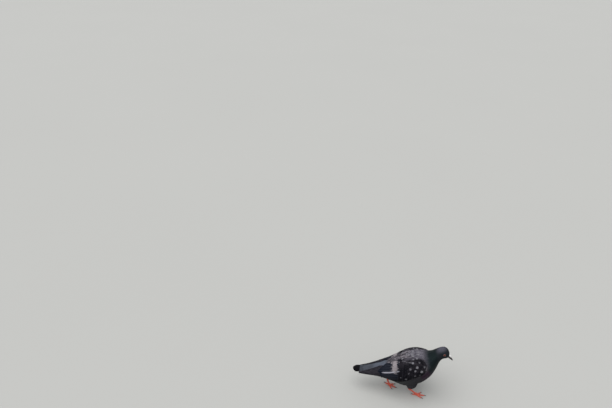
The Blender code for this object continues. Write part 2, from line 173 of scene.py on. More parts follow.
def fleck_at(points):
    """How strong the light flecks are at each point, 0 to 1."""
    found = np.zeros(points.shape[:-1])
    for x, out, z, radius, strength in FLECKS:
        away = np.stack([points[..., 0] - x, np.abs(points[..., 1]) - out, points[..., 2] - z], -1)
        found = np.maximum(found, strength * ease(np.linalg.norm(away, axis=-1), radius, 0.4 * radius))
    return found


# ---------------------------------------------------------------- meshes


def gathered(items, name, width, kind=np.float32):
    """One property of all items, a row for each."""
    values = np.empty(len(items) * width, kind)
    items.foreach_get(name, values)
    return values.reshape(-1, width)


def triangles(mesh):
    mesh.calc_loop_triangles()
    return gathered(mesh.loop_triangles, "vertices", 3, np.int32)


def node_arrays(name):
    """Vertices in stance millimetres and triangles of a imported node."""
    mesh = frame["nodes"][name].data
    points = stance(gathered(mesh.vertices, "co", 3))
    _, first, index = np.unique(np.round(points, 3), axis=0, return_index=True, return_inverse=True)
    return points[first], index.reshape(-1)[triangles(mesh)]


def merged(*names):
    """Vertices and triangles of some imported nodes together."""
    points, faces = zip(*(node_arrays(name) for name in names))
    starts = np.cumsum([0, *map(len, points)])
    return np.concatenate(points), np.concatenate([part + start for part, start in zip(faces, starts)])


def tree_of(*names):
    """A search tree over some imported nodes."""
    points, faces = merged(*names)
    return BVHTree.FromPolygons(points.tolist(), faces.tolist())


def near(tree, points, within):
    return np.array([tree.find_nearest(p, within)[0] is not None for p in points.tolist()])


def mesh_arrays(mesh):
    """Vertices in stance millimetres and their normals."""
    return stance(gathered(mesh.vertices, "co", 3)), gathered(mesh.vertex_normals, "vector", 3).astype(float)


def set_points(mesh, points):
    mesh.vertices.foreach_set("co", world(points).astype(np.float32).ravel())
    mesh.update()


def linked(name, data):
    """A new object of a mesh, camera or light, in the scene."""
    made = bpy.data.objects.new(name, data)
    bpy.context.scene.collection.objects.link(made)
    return made


def fine_copy(name, nodes, voxel, rounds, swell=0.0):
    """One closed fine mesh over some nodes: they are swollen a little so that they meet, then remeshed."""
    points, faces = merged(*nodes)
    coarse = bpy.data.meshes.new(name)
    coarse.from_pydata(world(points).tolist(), [], faces.tolist())
    made = linked(name, coarse)
    if swell:
        coarse.update()
        rest, normals = mesh_arrays(coarse)
        set_points(coarse, rest + normals * swell)
    remesh = made.modifiers.new("Remesh", "REMESH")
    remesh.mode, remesh.voxel_size = "VOXEL", voxel * MM
    smooth = made.modifiers.new("Smooth", "SMOOTH")
    smooth.factor, smooth.iterations = 0.5, rounds
    graph = bpy.context.evaluated_depsgraph_get()
    fine = bpy.data.meshes.new_from_object(made.evaluated_get(graph))
    made.modifiers.clear()
    made.data = fine
    bpy.data.meshes.remove(coarse)
    fine.name = name
    return made


def blurred(mesh, values, rounds=1):
    """Each vertex's number averaged with its neighbours'."""
    ends = gathered(mesh.edges, "vertices", 2, np.int32)
    count = np.bincount(ends.ravel(), minlength=len(values))
    for _ in range(rounds):
        total = np.bincount(ends[:, 0], values[ends[:, 1]], len(values))
        total += np.bincount(ends[:, 1], values[ends[:, 0]], len(values))
        values = (values + total) / (count + 1)
    return values


def store(mesh, name, values):
    """A vector for every vertex."""
    layer = mesh.attributes.new(name, "FLOAT_VECTOR", "POINT")
    layer.data.foreach_set("vector", np.asarray(values, np.float32).ravel())


def finish_with(mesh, *materials):
    mesh.materials.clear()
    for material in materials:
        mesh.materials.append(material)


def dress(made, slot, *nodes):
    """Rides the piece on the body and hides the nodes it stands for; slot is not used."""
    made.data.polygons.foreach_set("use_smooth", np.ones(len(made.data.polygons), bool))
    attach(made, "root")
    if nodes:
        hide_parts(*nodes)


# ---------------------------------------------------------------- the form that the coat lies on


def along_line(points):
    """For each point: how far along LINE it is, 0 to 1, the row of LINE there, and the line's tangent."""
    nodes = LINE[:, :2]
    spans = np.diff(nodes, axis=0)
    lengths = np.linalg.norm(spans, axis=1)
    starts = np.concatenate([[0], np.cumsum(lengths)])
    flat = points[:, None, (0, 2)] - nodes[None, :-1]
    t = np.clip((flat * spans).sum(-1) / lengths**2, 0, 1)
    away = np.linalg.norm(flat - t[..., None] * spans, axis=-1)
    best = away.argmin(1)
    t = t[np.arange(len(points)), best]
    reach = starts[best] + t * lengths[best]
    row = LINE[best] * (1 - t)[:, None] + LINE[best + 1] * t[:, None]
    tangents = unit(np.concatenate([spans[:1], (spans[1:] + spans[:-1]) / 2, spans[-1:]]))
    tangent = tangents[best] * (1 - t)[:, None] + tangents[best + 1] * t[:, None]
    return reach / starts[-1], row, np.stack([tangent[:, 0], 0 * t, tangent[:, 1]], 1)


class Form:
    """The smooth outer form of the plumage, with the lie of the coat over it."""

    VOXEL, ROUNDS, SWELL = 1.3, 4, 0.35
    # A normal that turns further than this cosine lies across a fold.
    FOLD = 0.35

    def __init__(self):
        self.object = fine_copy("form", FLESH + both("eye"), self.VOXEL, self.ROUNDS, self.SWELL)
        points, normals = mesh_arrays(self.object.data)
        set_points(self.object.data, points - self.SWELL * normals)
        self.points, _ = mesh_arrays(self.object.data)
        polygons = [list(face.vertices) for face in self.object.data.polygons]
        self.tree = BVHTree.FromPolygons(self.points.tolist(), polygons)
        self.wings = tree_of(*both("wing_shield", "wing_quills"))
        self.tail = tree_of("tail")
        self.shanks = tree_of(*both("shank"))
        self.thighs = tree_of(*both("thigh"))

    def settle(self, points):
        """The nearest points of the form and its normals there."""
        found = [self.tree.find_nearest(p)[:2] for p in points.reshape(-1, 3).tolist()]
        places, normals = (np.array(values).reshape(points.shape) for values in zip(*found))
        return places, normals

    def drape(self, points, normals, slack):
        """Points settled on the form; one that would jump across a fold or past an end stays where it is."""
        places, found = self.settle(points)
        jump = np.linalg.norm(places - points, axis=-1) > slack
        turned = (found * normals).sum(-1) < self.FOLD
        stay = (jump | turned)[..., None]
        return np.where(stay, points, places), np.where(stay, normals, found)

    def lie(self, points, normals):
        """The direction in which the coat lies, in the surface."""
        _, _, tangent = along_line(points)
        away = points - BILL_ROOT
        face = 1 - ease(np.linalg.norm(away, axis=1), NEAR_BILL * 0.3, NEAR_BILL)
        flow = tangent * (1 - face)[:, None] + unit(away) * face[:, None]
        thigh = (1 - ease(points[:, 2], THIGH_TOP - 14, THIGH_TOP)) * 0.8
        flow = flow * (1 - thigh)[:, None] + THIGH_FALL * thigh[:, None]
        flow -= (flow * normals).sum(-1, keepdims=True) * normals
        return unit(flow)


FORM = None
# Spread of the scattered roots: share of the coat's own spacing, tries for each root, side of a search cell.
SPACING, TRIES, CELL = 0.86, 7, 2.5
MOST_TRIES = 400000


def scattered_roots(seed, wanted):
    """Roots spread over the form at the coat's own spacing, where wanted(points) is true."""
    corners = FORM.points[triangles(FORM.object.data)]
    middle = corners.mean(1)
    area = np.linalg.norm(np.cross(corners[:, 1] - corners[:, 0], corners[:, 2] - corners[:, 0]), axis=1) / 2
    _, row, _ = along_line(middle)
    weight = np.where(wanted(middle), area / row[:, 2] ** 2, 0)
    draw = np.random.default_rng(seed)
    count = int(min(MOST_TRIES, weight.sum() / SPACING**2 * TRIES))
    picked = draw.choice(len(corners), count, p=weight / weight.sum())
    a, b = draw.random((2, count))
    turned = a + b > 1
    a, b = np.where(turned, 1 - a, a), np.where(turned, 1 - b, b)
    tri = corners[picked]
    points = tri[:, 0] + a[:, None] * (tri[:, 1] - tri[:, 0]) + b[:, None] * (tri[:, 2] - tri[:, 0])
    _, row, _ = along_line(points)
    grid, taken = {}, []
    for index, ((x, y, z), gap) in enumerate(zip(points.tolist(), (row[:, 2] * SPACING).tolist())):
        i, j, k = int(x // CELL), int(y // CELL), int(z // CELL)
        cells = range(-math.ceil(gap / CELL), math.ceil(gap / CELL) + 1)
        others = (grid.get((i + di, j + dj, k + dk), ()) for di in cells for dj in cells for dk in cells)
        if all(
            (ox - x) ** 2 + (oy - y) ** 2 + (oz - z) ** 2 >= gap * gap for roots in others for ox, oy, oz in roots
        ):
            grid.setdefault((i, j, k), []).append((x, y, z))
            taken.append(index)
    return points[taken]


# ---------------------------------------------------------------- vanes


class Vane:
    """A kind of feather: rows of (way from root to tip, share of the half width), columns, and its baked patch."""

    def __init__(self, patch, columns, *rows):
        self.stations, self.shares = np.array(rows).T
        self.columns, self.patch = np.array(columns), patch


SMALL_PATCH, COVERT_PATCH, QUILL_PATCH = (0.003, 0.003), (0.012, 0.016), (0.03, 0.1)
SMALL_COLUMNS = (-1.0, -0.55, 0.0, 0.55, 1.0)
LARGE_COLUMNS = (-1.0, -0.7, -0.35, -0.08, 0.08, 0.35, 0.7, 1.0)
LARGE_ROWS = (
    (0.0, 0.35), (0.1, 0.6), (0.22, 0.8), (0.34, 0.92), (0.46, 1.0), (0.58, 1.0),
    (0.68, 0.98), (0.77, 0.93), (0.85, 0.84), (0.91, 0.7), (0.96, 0.48), (1.0, 0.14),
)
HEAD_VANE = Vane(SMALL_PATCH, (-1.0, 0.0, 1.0), (0.0, 0.4), (0.42, 0.95), (0.7, 0.95), (0.9, 0.6), (1.0, 0.15))
BODY_VANE = Vane(
    SMALL_PATCH, SMALL_COLUMNS, (0.0, 0.35), (0.25, 0.75), (0.46, 0.96), (0.63, 1.0), (0.77, 0.92), (0.87, 0.76),
    (0.94, 0.55), (0.983, 0.3), (1.0, 0.1),
)
COVERT_VANE = Vane(
    COVERT_PATCH, SMALL_COLUMNS, (0.0, 0.35), (0.3, 0.8), (0.58, 1.0), (0.8, 0.86), (0.94, 0.52), (1.0, 0.16),
)
GREAT_COVERT_VANE = Vane(COVERT_PATCH, LARGE_COLUMNS, *LARGE_ROWS)
QUILL_VANE = Vane(QUILL_PATCH, LARGE_COLUMNS, *LARGE_ROWS)
TAIL_VANE = Vane(
    QUILL_PATCH, LARGE_COLUMNS, (0.0, 0.5), (0.15, 0.7), (0.3, 0.84), (0.45, 0.94), (0.6, 1.0), (0.72, 1.0),
    (0.82, 0.99), (0.89, 0.97), (0.94, 0.9), (0.97, 0.78), (0.99, 0.55), (1.0, 0.25),
)
# The unwrap for baking leaves this border, and each vane stretched past TORN is left out.
BAKE_LOW, BAKE_SPAN = 0.02, 0.93
TORN = 1.55
SHARP_ABOVE = math.radians(58)


class Coat:
    """Gathers vanes for one piece of the coat."""

    def __init__(self):
        self.faces, self.patches, self.count = [], [], 0
        self.values = {name: [] for name in ("place", "lie", "root", "kind", "span")}

    def add(self, vane, top, roots, seeds, lengths, halves, kinds):
        """top is vanes x rows x columns x 3; the underside is a chord from edge to edge."""
        n, r, k = top.shape[:3]
        index = np.arange(r * k).reshape(r, k)
        quads = np.stack([index[:-1, :-1], index[:-1, 1:], index[1:, 1:], index[1:, :-1]], -1).reshape(-1, 4)
        below = np.stack([index[:-1, 0], index[1:, 0], index[1:, -1], index[:-1, -1]], -1)
        one = [*quads.tolist(), *below.tolist(), index[0, ::-1].tolist(), index[-1].tolist()]
        self.faces.append((one, n, r * k, self.count))
        self.patches.append((vane, roots))
        self.count += n * r * k
        lie = np.stack(np.broadcast_arrays(vane.stations[:, None], vane.columns, seeds[:, None, None]), -1)
        kind = np.array(np.broadcast_to(kinds[:, None, None], top.shape))
        kind[..., 1] += fleck_at(top)
        span = np.stack([lengths, halves, 0 * halves], 1)[:, None, None]
        for parts, values in zip(self.values.values(), (top, lie, roots[:, None, None], kind, span)):
            parts.append(np.broadcast_to(values, top.shape).reshape(-1, 3))

    def build(self, name, material):
        loops, totals = [], []
        for one, n, stride, start in self.faces:
            corners = np.concatenate(one)
            loops.append((corners[None] + (start + stride * np.arange(n))[:, None]).ravel())
            totals.append(np.tile([len(face) for face in one], n))
        loops, totals = np.concatenate(loops), np.concatenate(totals)
        mesh = bpy.data.meshes.new(name)
        mesh.vertices.add(self.count)
        mesh.loops.add(len(loops))
        mesh.polygons.add(len(totals))
        points = np.concatenate(self.values.pop("place"))
        mesh.vertices.foreach_set("co", world(points).astype(np.float32).ravel())
        mesh.loops.foreach_set("vertex_index", loops.astype(np.int32))
        mesh.polygons.foreach_set("loop_start", np.concatenate([[0], np.cumsum(totals)[:-1]]).astype(np.int32))
        mesh.update(calc_edges=True)
        for label, parts in self.values.items():
            store(mesh, label, np.concatenate(parts))
        self.bake_map(mesh, loops)
        finish_with(mesh, material)
        dress(linked(name, mesh), "plumage")
        mesh.set_sharp_from_angle(angle=SHARP_ABOVE)

    def bake_map(self, mesh, loops):
        """Each vane is a small patch at its root's place on an unwrap of the body round its long axis."""
        along, around = [], []
        for _, roots in self.patches:
            reach, row, _ = along_line(roots)
            along.append(reach)
            around.append(np.arctan2(roots[:, 1], roots[:, 2] - row[:, 1]))
        places = []
        for kept in (around, along):
            every = np.concatenate(kept)
            low, span = every.min(), max(np.ptp(every), 1e-6)
            places.append([BAKE_LOW + BAKE_SPAN * (values - low) / span for values in kept])
        corners = []
        for (vane, _), u, v in zip(self.patches, *places):
            u = u[:, None, None] + vane.columns * 0.5 * vane.patch[0]
            v = v[:, None, None] + vane.stations[:, None] * vane.patch[1]
            corners.append(np.stack(np.broadcast_arrays(u, v), -1).reshape(-1, 2))
        layer = mesh.uv_layers.new(name="OFBake")
        layer.data.foreach_set("uv", np.concatenate(corners)[loops].astype(np.float32).ravel())


# Spread of the vanes' lengths, half widths and edges, as shares; how far shaft and webs may move when they settle, as
# shares of length and half width; and how high the tips stand over each other, as a share of the spacing and at most.
LENGTH_SPREAD, WIDTH_SPREAD, EDGE_SPREAD = 0.09, 0.07, 0.035
SHAFT_SLACK, WEB_SLACK = 0.22, 0.45
STACK_SHARE, STACK_MOST = 0.08, 0.32


def lay(coat, vane, roots, seed, size, splay):
    """Lays one vane at each root along the lie of the coat; each rises from the skin to the form's surface."""
    draw = np.random.default_rng(seed)
    n = len(roots)
    stations, shares, columns = vane.stations, vane.shares, vane.columns
    places, normals = FORM.settle(roots)
    _, row, _ = along_line(places)
    length = row[:, 3] * size * (1 + draw.normal(0, LENGTH_SPREAD, n))
    half = row[:, 4] * size**0.5 * (1 + draw.normal(0, WIDTH_SPREAD, n))
    gap = np.minimum(STACK_SHARE * row[:, 2], STACK_MOST)
    turn = draw.normal(0, splay, n)
    seeds = draw.random(n)
    lift = draw.random(n) * gap * 0.35

    # The shaft, walked from the root over the form.
    centre, up, side = (np.empty((n, len(stations), 3)) for _ in range(3))
    here, normal = places, normals
    for i, station in enumerate(stations):
        if i:
            step = (station - stations[i - 1]) * length
            here, normal = FORM.drape(here + heading * step[:, None], normal, SHAFT_SLACK * length)
        aim = FORM.lie(here, normal)
        heading = aim * np.cos(turn)[:, None] + np.cross(normal, aim) * np.sin(turn)[:, None]
        centre[:, i], up[:, i], side[:, i] = here, normal, np.cross(heading, normal)

    # The webs on both sides of it, swept back towards the tip and settled on the form.
    wide = half[:, None, None] * shares[:, None] * columns
    wide = wide * (1 + draw.normal(0, EDGE_SPREAD, wide.shape))
    back = 0.5 * np.abs(wide) * np.abs(columns) * ease(stations, 0.5, 1.0)[:, None]
    ahead = np.cross(up, side)
    across = centre[:, :, None] + side[:, :, None] * wide[..., None] - ahead[:, :, None] * back[..., None]
    slack = np.broadcast_to((WEB_SLACK * half)[:, None, None], wide.shape)
    settled, _ = FORM.drape(across, np.broadcast_to(up[:, :, None], across.shape), slack)
    rise = ease(stations, 0.0, 0.45)
    height = -row[:, 5, None] * 0.85 * (1 - rise) - gap[:, None] * 3.2 * (1 - stations) + lift[:, None] * stations
    height = height[:, :, None] - half[:, None, None] * 0.1 * shares[:, None] * columns**2
    top = settled + up[:, :, None] * (height - SINK)[..., None]

    # A vane that a fold has torn is left out.
    steps = np.linalg.norm(np.diff(top, axis=1), axis=-1)
    due = np.diff(stations)[:, None] * length[:, None, None] + 0.25 * half[:, None, None] + 0.1
    spans = np.linalg.norm(np.diff(top, axis=2), axis=-1)
    flat = np.linalg.norm(np.diff(across, axis=2), axis=-1) + 0.12 * half[:, None, None] + 0.1
    whole = ((steps / due).max((1, 2)) < TORN) & ((spans / flat).max((1, 2)) < TORN)
    coat.add(vane, top[whole], places[whole], seeds[whole], length[whole], half[whole], np.zeros((whole.sum(), 3)))


# ---------------------------------------------------------------- wings and tail as sheets


class Wing:
    """A folded wing as a sheet: x from the shoulder to the tip, share 0 at its upper edge and 1 at its lower."""

    STEP, SLICE, SHARES, REACH = 2.0, 7.0, np.linspace(0, 1, 33), 120.0

    def __init__(self, side):
        sign = SIDES[side]
        names = f"wing_shield_{side}", f"wing_quills_{side}"
        points, _ = merged(*names)
        tree = tree_of(*names)
        self.front = points[:, 0].max() - 1.0
        self.x = np.arange(self.front, points[:, 0].min() + 0.6, -self.STEP)
        turn = np.arctan2(points[:, 1] * sign, points[:, 2] - self.middle(points[:, 0]))
        slices = [turn[np.abs(points[:, 0] - x) < self.SLICE] for x in self.x]
        low, high = (smoothed(np.array([end(angles) for angles in slices]), 3) for end in (np.min, np.max))
        grid = np.full((len(self.x), len(self.SHARES), 3), np.nan)
        for i, x in enumerate(self.x):
            for j, share in enumerate(self.SHARES):
                angle = low[i] + (high[i] - low[i]) * share
                out = Vector((0.0, math.sin(angle) * sign, math.cos(angle)))
                start = Vector((x, 0.0, float(self.middle(x)))) + out * self.REACH
                hit = tree.ray_cast(start, -out, self.REACH)[0]
                if hit is not None:
                    grid[i, j] = hit
        for row in grid:
            good = np.flatnonzero(~np.isnan(row[:, 0]))
            for axis in range(3):
                row[:, axis] = np.interp(np.arange(len(row)), good, row[good, axis])
        grid[:, 1:-1] = (grid[:, :-2] + 2 * grid[:, 1:-1] + grid[:, 2:]) / 4
        grid[1:-1] = (grid[:-2] + 2 * grid[1:-1] + grid[2:]) / 4
        facing = np.cross(np.gradient(grid, axis=0), np.gradient(grid, axis=1))
        for _ in range(6):
            inner = facing[:, :-2] + 2 * facing[:, 1:-1] + facing[:, 2:]
            facing = np.concatenate([facing[:, :1] + facing[:, 1:2], inner, facing[:, -2:-1] + facing[:, -1:]], 1)
        normals = unit(facing)
        if (normals[..., 1] * sign).mean() < 0:
            normals *= -1
        self.grid, self.normals = grid, normals
        self.arc = smoothed(np.linalg.norm(np.diff(grid, axis=1), axis=2).sum(1))

    @staticmethod
    def middle(x):
        return np.interp(x, LINE[5:, 0][::-1], LINE[5:, 1][::-1])

    def arc_at(self, x):
        """How far it is across the wing, over its curve."""
        return np.interp(-np.asarray(x, float), -self.x, self.arc)

    def sample(self, x, share, low):
        """Points and normals of the sheet; a share down to low runs on past its upper edge."""
        i = np.clip((self.front - x) / self.STEP, 0, len(self.x) - 1.001)
        j = np.clip(share, low, 1.0) * (len(self.SHARES) - 1)
        return between(self.grid, i, j), unit(between(self.normals, i, j))


# Towards the wing's tip the stack of feathers comes up to the surface, between these two x.
SURFACING_FROM, SURFACING_TO = -50.0, -90.0


def lay_on_wing(coat, vane, wing, start, end, half, order, kind, seed, rise, camber=0.12, step=0.3, surfacing=0.0,
                low=0.0):
    """Vanes along a wing, each from (x, share) to (x, share); order counts how deep it lies in the stack."""
    n = len(start)
    s, v = vane.stations[:, None], vane.columns
    x, f = (start[:, axis, None, None] * (1 - s) + end[:, axis, None, None] * s for axis in (0, 1))
    wide = half[:, None, None] * vane.shares[:, None]
    x = x + 0.16 * wide * v**2 * ease(s, 0.6, 1.0)
    f = f + wide * v / wing.arc_at(x)
    points, normals = wing.sample(x, f, low)
    deep = order[:, None, None]
    if surfacing:
        raised = deep - surfacing * ease(x, SURFACING_FROM, SURFACING_TO)
        deep = np.maximum(raised, 0.3 + 0.16 * deep)
    height = -deep * step - rise * (1 - ease(s, 0.0, 0.75)) - camber * wide * v**2
    height = height - 0.5 * np.clip(-f, 0.0, -low) * wing.arc_at(x)
    top = points + normals * (height - SINK)[..., None]
    draw = np.random.default_rng(seed)
    roots = top[:, 0, len(v) // 2]
    coat.add(vane, top, roots, draw.random(n), np.abs(end[:, 0] - start[:, 0]), half, kind)


# Rows of wing coverts from the shoulder back: x of the tips, length, half width, depth in the stack.
COVERT_ROWS = (
    *((60.0 - 4.3 * k, 11.0 + 0.55 * k, 3.0 + 0.16 * k, 0.5 + 0.02 * k) for k in range(11)),
    *((12.5 - 6.6 * k, 20.0 + 1.5 * k, 4.7 + 0.25 * k, 1.6) for k in range(3)),
    (-9.0, 30.0, 5.4, 2.6),
    (-23.0, 38.0, 6.2, 2.6),
)
LESSER_COVERTS, GREATER_FROM = 11, 14
# Neighbours in a row stand this many half widths apart.
OVERLAP = 1.32


def build_coverts(side):
    wing, coat = Wing(side), Coat()
    draw = np.random.default_rng(int(COVERTS_SEED + SIDES[side]))
    for index, (tip_x, length, half, deep) in enumerate(COVERT_ROWS):
        count = max(6, round(float(wing.arc_at(tip_x + length * 0.3)) / (OVERLAP * half)))
        share = (np.arange(count + 1) + 0.5 * (index % 2)) / count
        share = share + draw.normal(0, 0.12 / count, len(share))
        n = len(share)
        tips = tip_x + 9.0 * (share - 0.45) ** 2 + draw.normal(0, 0.5, n)
        starts = np.stack([tips + length * (1 + draw.normal(0, 0.03, n)), share * 0.97 + 0.015], 1)
        ends = np.stack([tips, share * 0.99 + draw.normal(0, 0.004, n)], 1)
        kind = np.tile((COVERT, 0.0, float(index >= LESSER_COVERTS)), (n, 1))
        lay_on_wing(
            coat, GREAT_COVERT_VANE if index >= GREATER_FROM else COVERT_VANE, wing, starts, ends,
            half * (1 + draw.normal(0, 0.05, n)), deep * 0.35 + draw.random(n) * 0.3, kind, index + ROW_SEED, rise=2.0,
        )
    coat.build(f"coverts_{side}", wing_material("covert", 0.5))


# Flight feathers, the innermost on top: x of root and tip, share of root and tip, half width, depth in the stack, kind.
PRIMARY_TIPS = (0.10, 0.11, 0.12, 0.13, 0.14, 0.155, 0.18, 0.22, 0.33)
QUILLS = np.array([
    *((8 - 3 * k, -62 - 5.5 * k, 0.06 + 0.085 * k, 0.05 + 0.085 * k, 8.5, 1.6 + k * 0.5, SECONDARY) for k in range(5)),
    *((2 - 2 * k, -79 + 1.6 * k, 0.42 + 0.075 * k, 0.42 + 0.07 * k, 8, 4 + k * 0.45, SECONDARY) for k in range(8)),
    *((-38, -91 - 6.7 * k, 0.45 + 0.055 * k, share, 8.4 + 0.35 * k, 7.4 + k * 0.5, PRIMARY)
      for k, share in enumerate(PRIMARY_TIPS)),
    (-48, -141, 0.97, 0.55, 9.5, 12, PRIMARY),
    (-48, -122, 1, 0.84, 9, 12.5, PRIMARY),
])
# The fifth tertial has the white edge; the others have a trace of it.
EDGE_TRACE, EDGED_QUILL, EDGE_MORE = 0.035, 4, 0.62


def build_quills(side):
    wing, coat = Wing(side), Coat()
    kind = np.zeros((len(QUILLS), 3))
    kind[:, 0], kind[:, 2] = QUILLS[:, 6], EDGE_TRACE
    kind[EDGED_QUILL, 2] += EDGE_MORE
    lay_on_wing(
        coat, QUILL_VANE, wing, QUILLS[:, (0, 2)], QUILLS[:, (1, 3)], QUILLS[:, 4], QUILLS[:, 5], kind, QUILLS_SEED,
        rise=0.6, camber=0.015, step=0.34, surfacing=7.0, low=-0.06,
    )
    coat.build(f"quills_{side}", wing_material("quill", 0.45))


# Pairs of feathers, how far their roots reach in front of the tail, and the step in height from one to the next;
# where the fall to the sides is measured, as a share of the width, and the length of tail each width is taken over.
TAIL_PAIRS, TAIL_LEAD, TAIL_STEP = 6, 16.0, 0.36
TAIL_SHOULDER, TAIL_SLICE = 0.8, 9.0


def build_tail():
    """Twelve tail feathers: the middle pair on top, each pair further out a little lower."""
    coat = Coat()
    points, _ = node_arrays("tail")
    tree = tree_of("tail")
    front, tip = points[:, 0].max(), points[:, 0].min()
    xs = np.linspace(tip + 1.5, front - 1.5, 24)
    widths = np.array([np.abs(points[np.abs(points[:, 0] - x) < TAIL_SLICE, 1]).max() for x in xs])

    def top_at(x, y):
        hit = tree.ray_cast(Vector((x, y, 200.0)), Vector((0, 0, -1)), 300.0)[0]
        return np.nan if hit is None else hit.z

    ridge = np.array([top_at(x, 0.01) for x in xs])
    shoulder = np.array([top_at(x, TAIL_SHOULDER * width) for x, width in zip(xs, widths)])
    droop = np.nanmean(ridge - shoulder) / TAIL_SHOULDER**2
    s, v = TAIL_VANE.stations[:, None], TAIL_VANE.columns
    for pair in reversed(range(TAIL_PAIRS)):
        for sign in (-1.0, 1.0):
            out = pair / (TAIL_PAIRS - 1)
            end = tip + 0.4 + 2.6 * out**2
            x = front + TAIL_LEAD + (end - front - TAIL_LEAD) * s
            width = np.interp(x, xs, widths)
            half = width * (0.56 - 0.06 * out)
            middle = sign * (width * 0.97 - half) * (0.16 + 0.84 * out)
            wide = half * TAIL_VANE.shares[:, None] * v
            y = (middle + wide) * (1 - 0.5 * np.clip(1 - s / 0.32, 0, 1) ** 1.5)
            x = x + 0.45 * np.abs(wide) * np.abs(v) * ease(s, 0.9, 1.0)
            z = np.interp(x, xs, ridge) - droop * (y / width) ** 2
            order = 2 * pair + (0.5 if sign > 0 else 0.0)
            z = z - 0.1 - TAIL_STEP * 0.5 * order - 0.03 * half * v**2 - 0.8 * (1 - s)
            top = np.stack([x, y, z], -1)[None]
            seeds = np.array([(0.37 * pair + 0.21 * (sign > 0)) % 1.0])
            coat.add(TAIL_VANE, top, top[:, 0, 4], seeds, np.array([front - end]), np.array([9.0]),
                     np.array([[RECTRIX, 0.0, out]]))
    coat.build("tail_quills", wing_material("quill", 0.45))


# ---------------------------------------------------------------- rows along the middle of the trunk


# Rows over the lower back (side 1) and under the tail (side -1): x of the first and last tips, sizes, and reach
# to each side.
Strip = namedtuple("Strip", "side first last step length half reach")
STRIPS = {
    "coat_lower_back": Strip(1.0, -46.0, -136.5, 4.6, 18.0, 4.4, 19.0),
    "coat_undertail": Strip(-1.0, -70.0, -131.0, 4.6, 18.0, 4.2, 17.0),
}
STRIP_GRID, TRUNK_END, RIM_DROP = 2.0, -124.0, 2.1


def strip_heights(side, xs, ys):
    """How far up, or down, trunk and tail reach over a grid; on the back a trough that meets the wings' edges."""
    trees = [tree_of(node) for node in ("trunk", "tail")]
    heights = np.zeros((len(xs), len(ys)))
    for i, x in enumerate(xs):
        for j, y in enumerate(ys):
            hits = [tree.ray_cast(Vector((x, y, 300.0 * side)), Vector((0, 0, -side)))[0] for tree in trees]
            heights[i, j] = max([side * hit.z for hit in hits if hit is not None], default=-999.0)
        good = np.flatnonzero(heights[i] > heights[i].max() - (7.0 if side < 0 else 16.0))
        heights[i] = np.interp(np.arange(len(ys)), good, heights[i, good])
    if side > 0:
        step = TRUNK_END + 5.0, TRUNK_END - 13.0
        across = (xs < step[0]) & (xs > step[1])
        for column in heights.T:
            slope = np.interp(-np.array(step), -xs, column)
            column[across] = np.interp(-xs[across], -np.array(step), slope)
        edge = Wing("left").grid[:, 0]
        out, rim = (np.interp(-xs, -edge[:, 0], edge[:, axis])[:, None] for axis in (1, 2))
        middle = heights[:, [len(ys) // 2]]
        far = np.abs(ys)[None]
        trough = middle + (rim - RIM_DROP - middle) * ease(far, 0.3 * out, out) - 0.45 * np.maximum(far - out, 0)
        heights += (trough - heights) * ease(-xs, 44.0, 60.0)[:, None]
    for _ in range(3):
        heights = smoothed(smoothed(heights, 1).T, 1).T
    return heights


def build_strip(name):
    """Rows of feathers along the middle of the trunk and the root of the tail, above or below."""
    side, first, last, step, length, half, reach = STRIPS[name]
    coat = Coat()
    xs, ys = np.arange(first + 24.0, last - 18.0, -STRIP_GRID), np.linspace(-reach - 4, reach + 4, 28)
    heights = strip_heights(side, xs, ys)[..., None]
    draw = np.random.default_rng(STRIP_SEED)
    s, v = BODY_VANE.stations[:, None], BODY_VANE.columns
    count = int(reach / half / OVERLAP)
    for index, tip in enumerate(np.arange(first, last, -step)):
        middle = (np.arange(-count, count + 1) + 0.5 * (index % 2)) * half * OVERLAP
        n = len(middle)
        middle = middle + draw.normal(0, 0.35, n)
        ends = tip + draw.normal(0, 0.7, n) + 0.012 * middle**2
        wide = half * BODY_VANE.shares[:, None] * v * (1 + draw.normal(0, 0.03, (n, len(s), len(v))))
        x = ends[:, None, None] + length * (1 - s) + 0.5 * np.abs(wide) * np.abs(v) * ease(s, 0.5, 1.0)
        y = middle[:, None, None] * (1 - 0.12 * s) + side * wide
        i = np.clip((xs[0] - x) / STRIP_GRID, 0, len(xs) - 1.001)
        j = np.clip((y - ys[0]) / (ys[1] - ys[0]), 0, len(ys) - 1.001)
        z = between(heights, i, j)[..., 0] - 0.2 - 1.3 * (1 - ease(s, 0.0, 0.6)) - 0.1 * half * v**2
        z = z + 0.1 * draw.random(n)[:, None, None] * s
        top = np.stack([x, y, side * z], -1)
        coat.add(BODY_VANE, top, top[:, 4, 2], draw.random(n), np.full(n, length), np.full(n, half), np.zeros((n, 3)))
    coat.build(name, body_material())


# ---------------------------------------------------------------- coat of the body


# Scattered feathers keep this far from the wings, or less in front of SHOULDER, where the wing tucks under them.
WING_CLEAR, WING_LAP, SHOULDER = 1.6, 0.4, -14.0
SHANK_CLEAR, LID_CLEAR = 2.6, 0.35
# Where they end, on the back, under the belly and at the sides.
BACK_END, BELLY_END, FLANK_END = -40.0, -66.0, -78.0
# Where the tracts part: millimetres up the neck, then X of the rump and Z of the underside.
HEAD_FROM, NECK_FROM, RUMP_FROM, UNDER_TOP = 34.0, -4.0, -52.0, 96.0
# Within THIGH_LAP of the thighs feathers are shorter by this share, in full below SHORT_FROM, not above SHORT_TO.
SHORTER, SHORT_FROM, SHORT_TO, THIGH_LAP = 0.68, 32.0, 54.0, 1.5
# How far the vanes splay from the lie of the coat, in radians.
HEAD_SPLAY, BODY_SPLAY = 0.06, 0.09


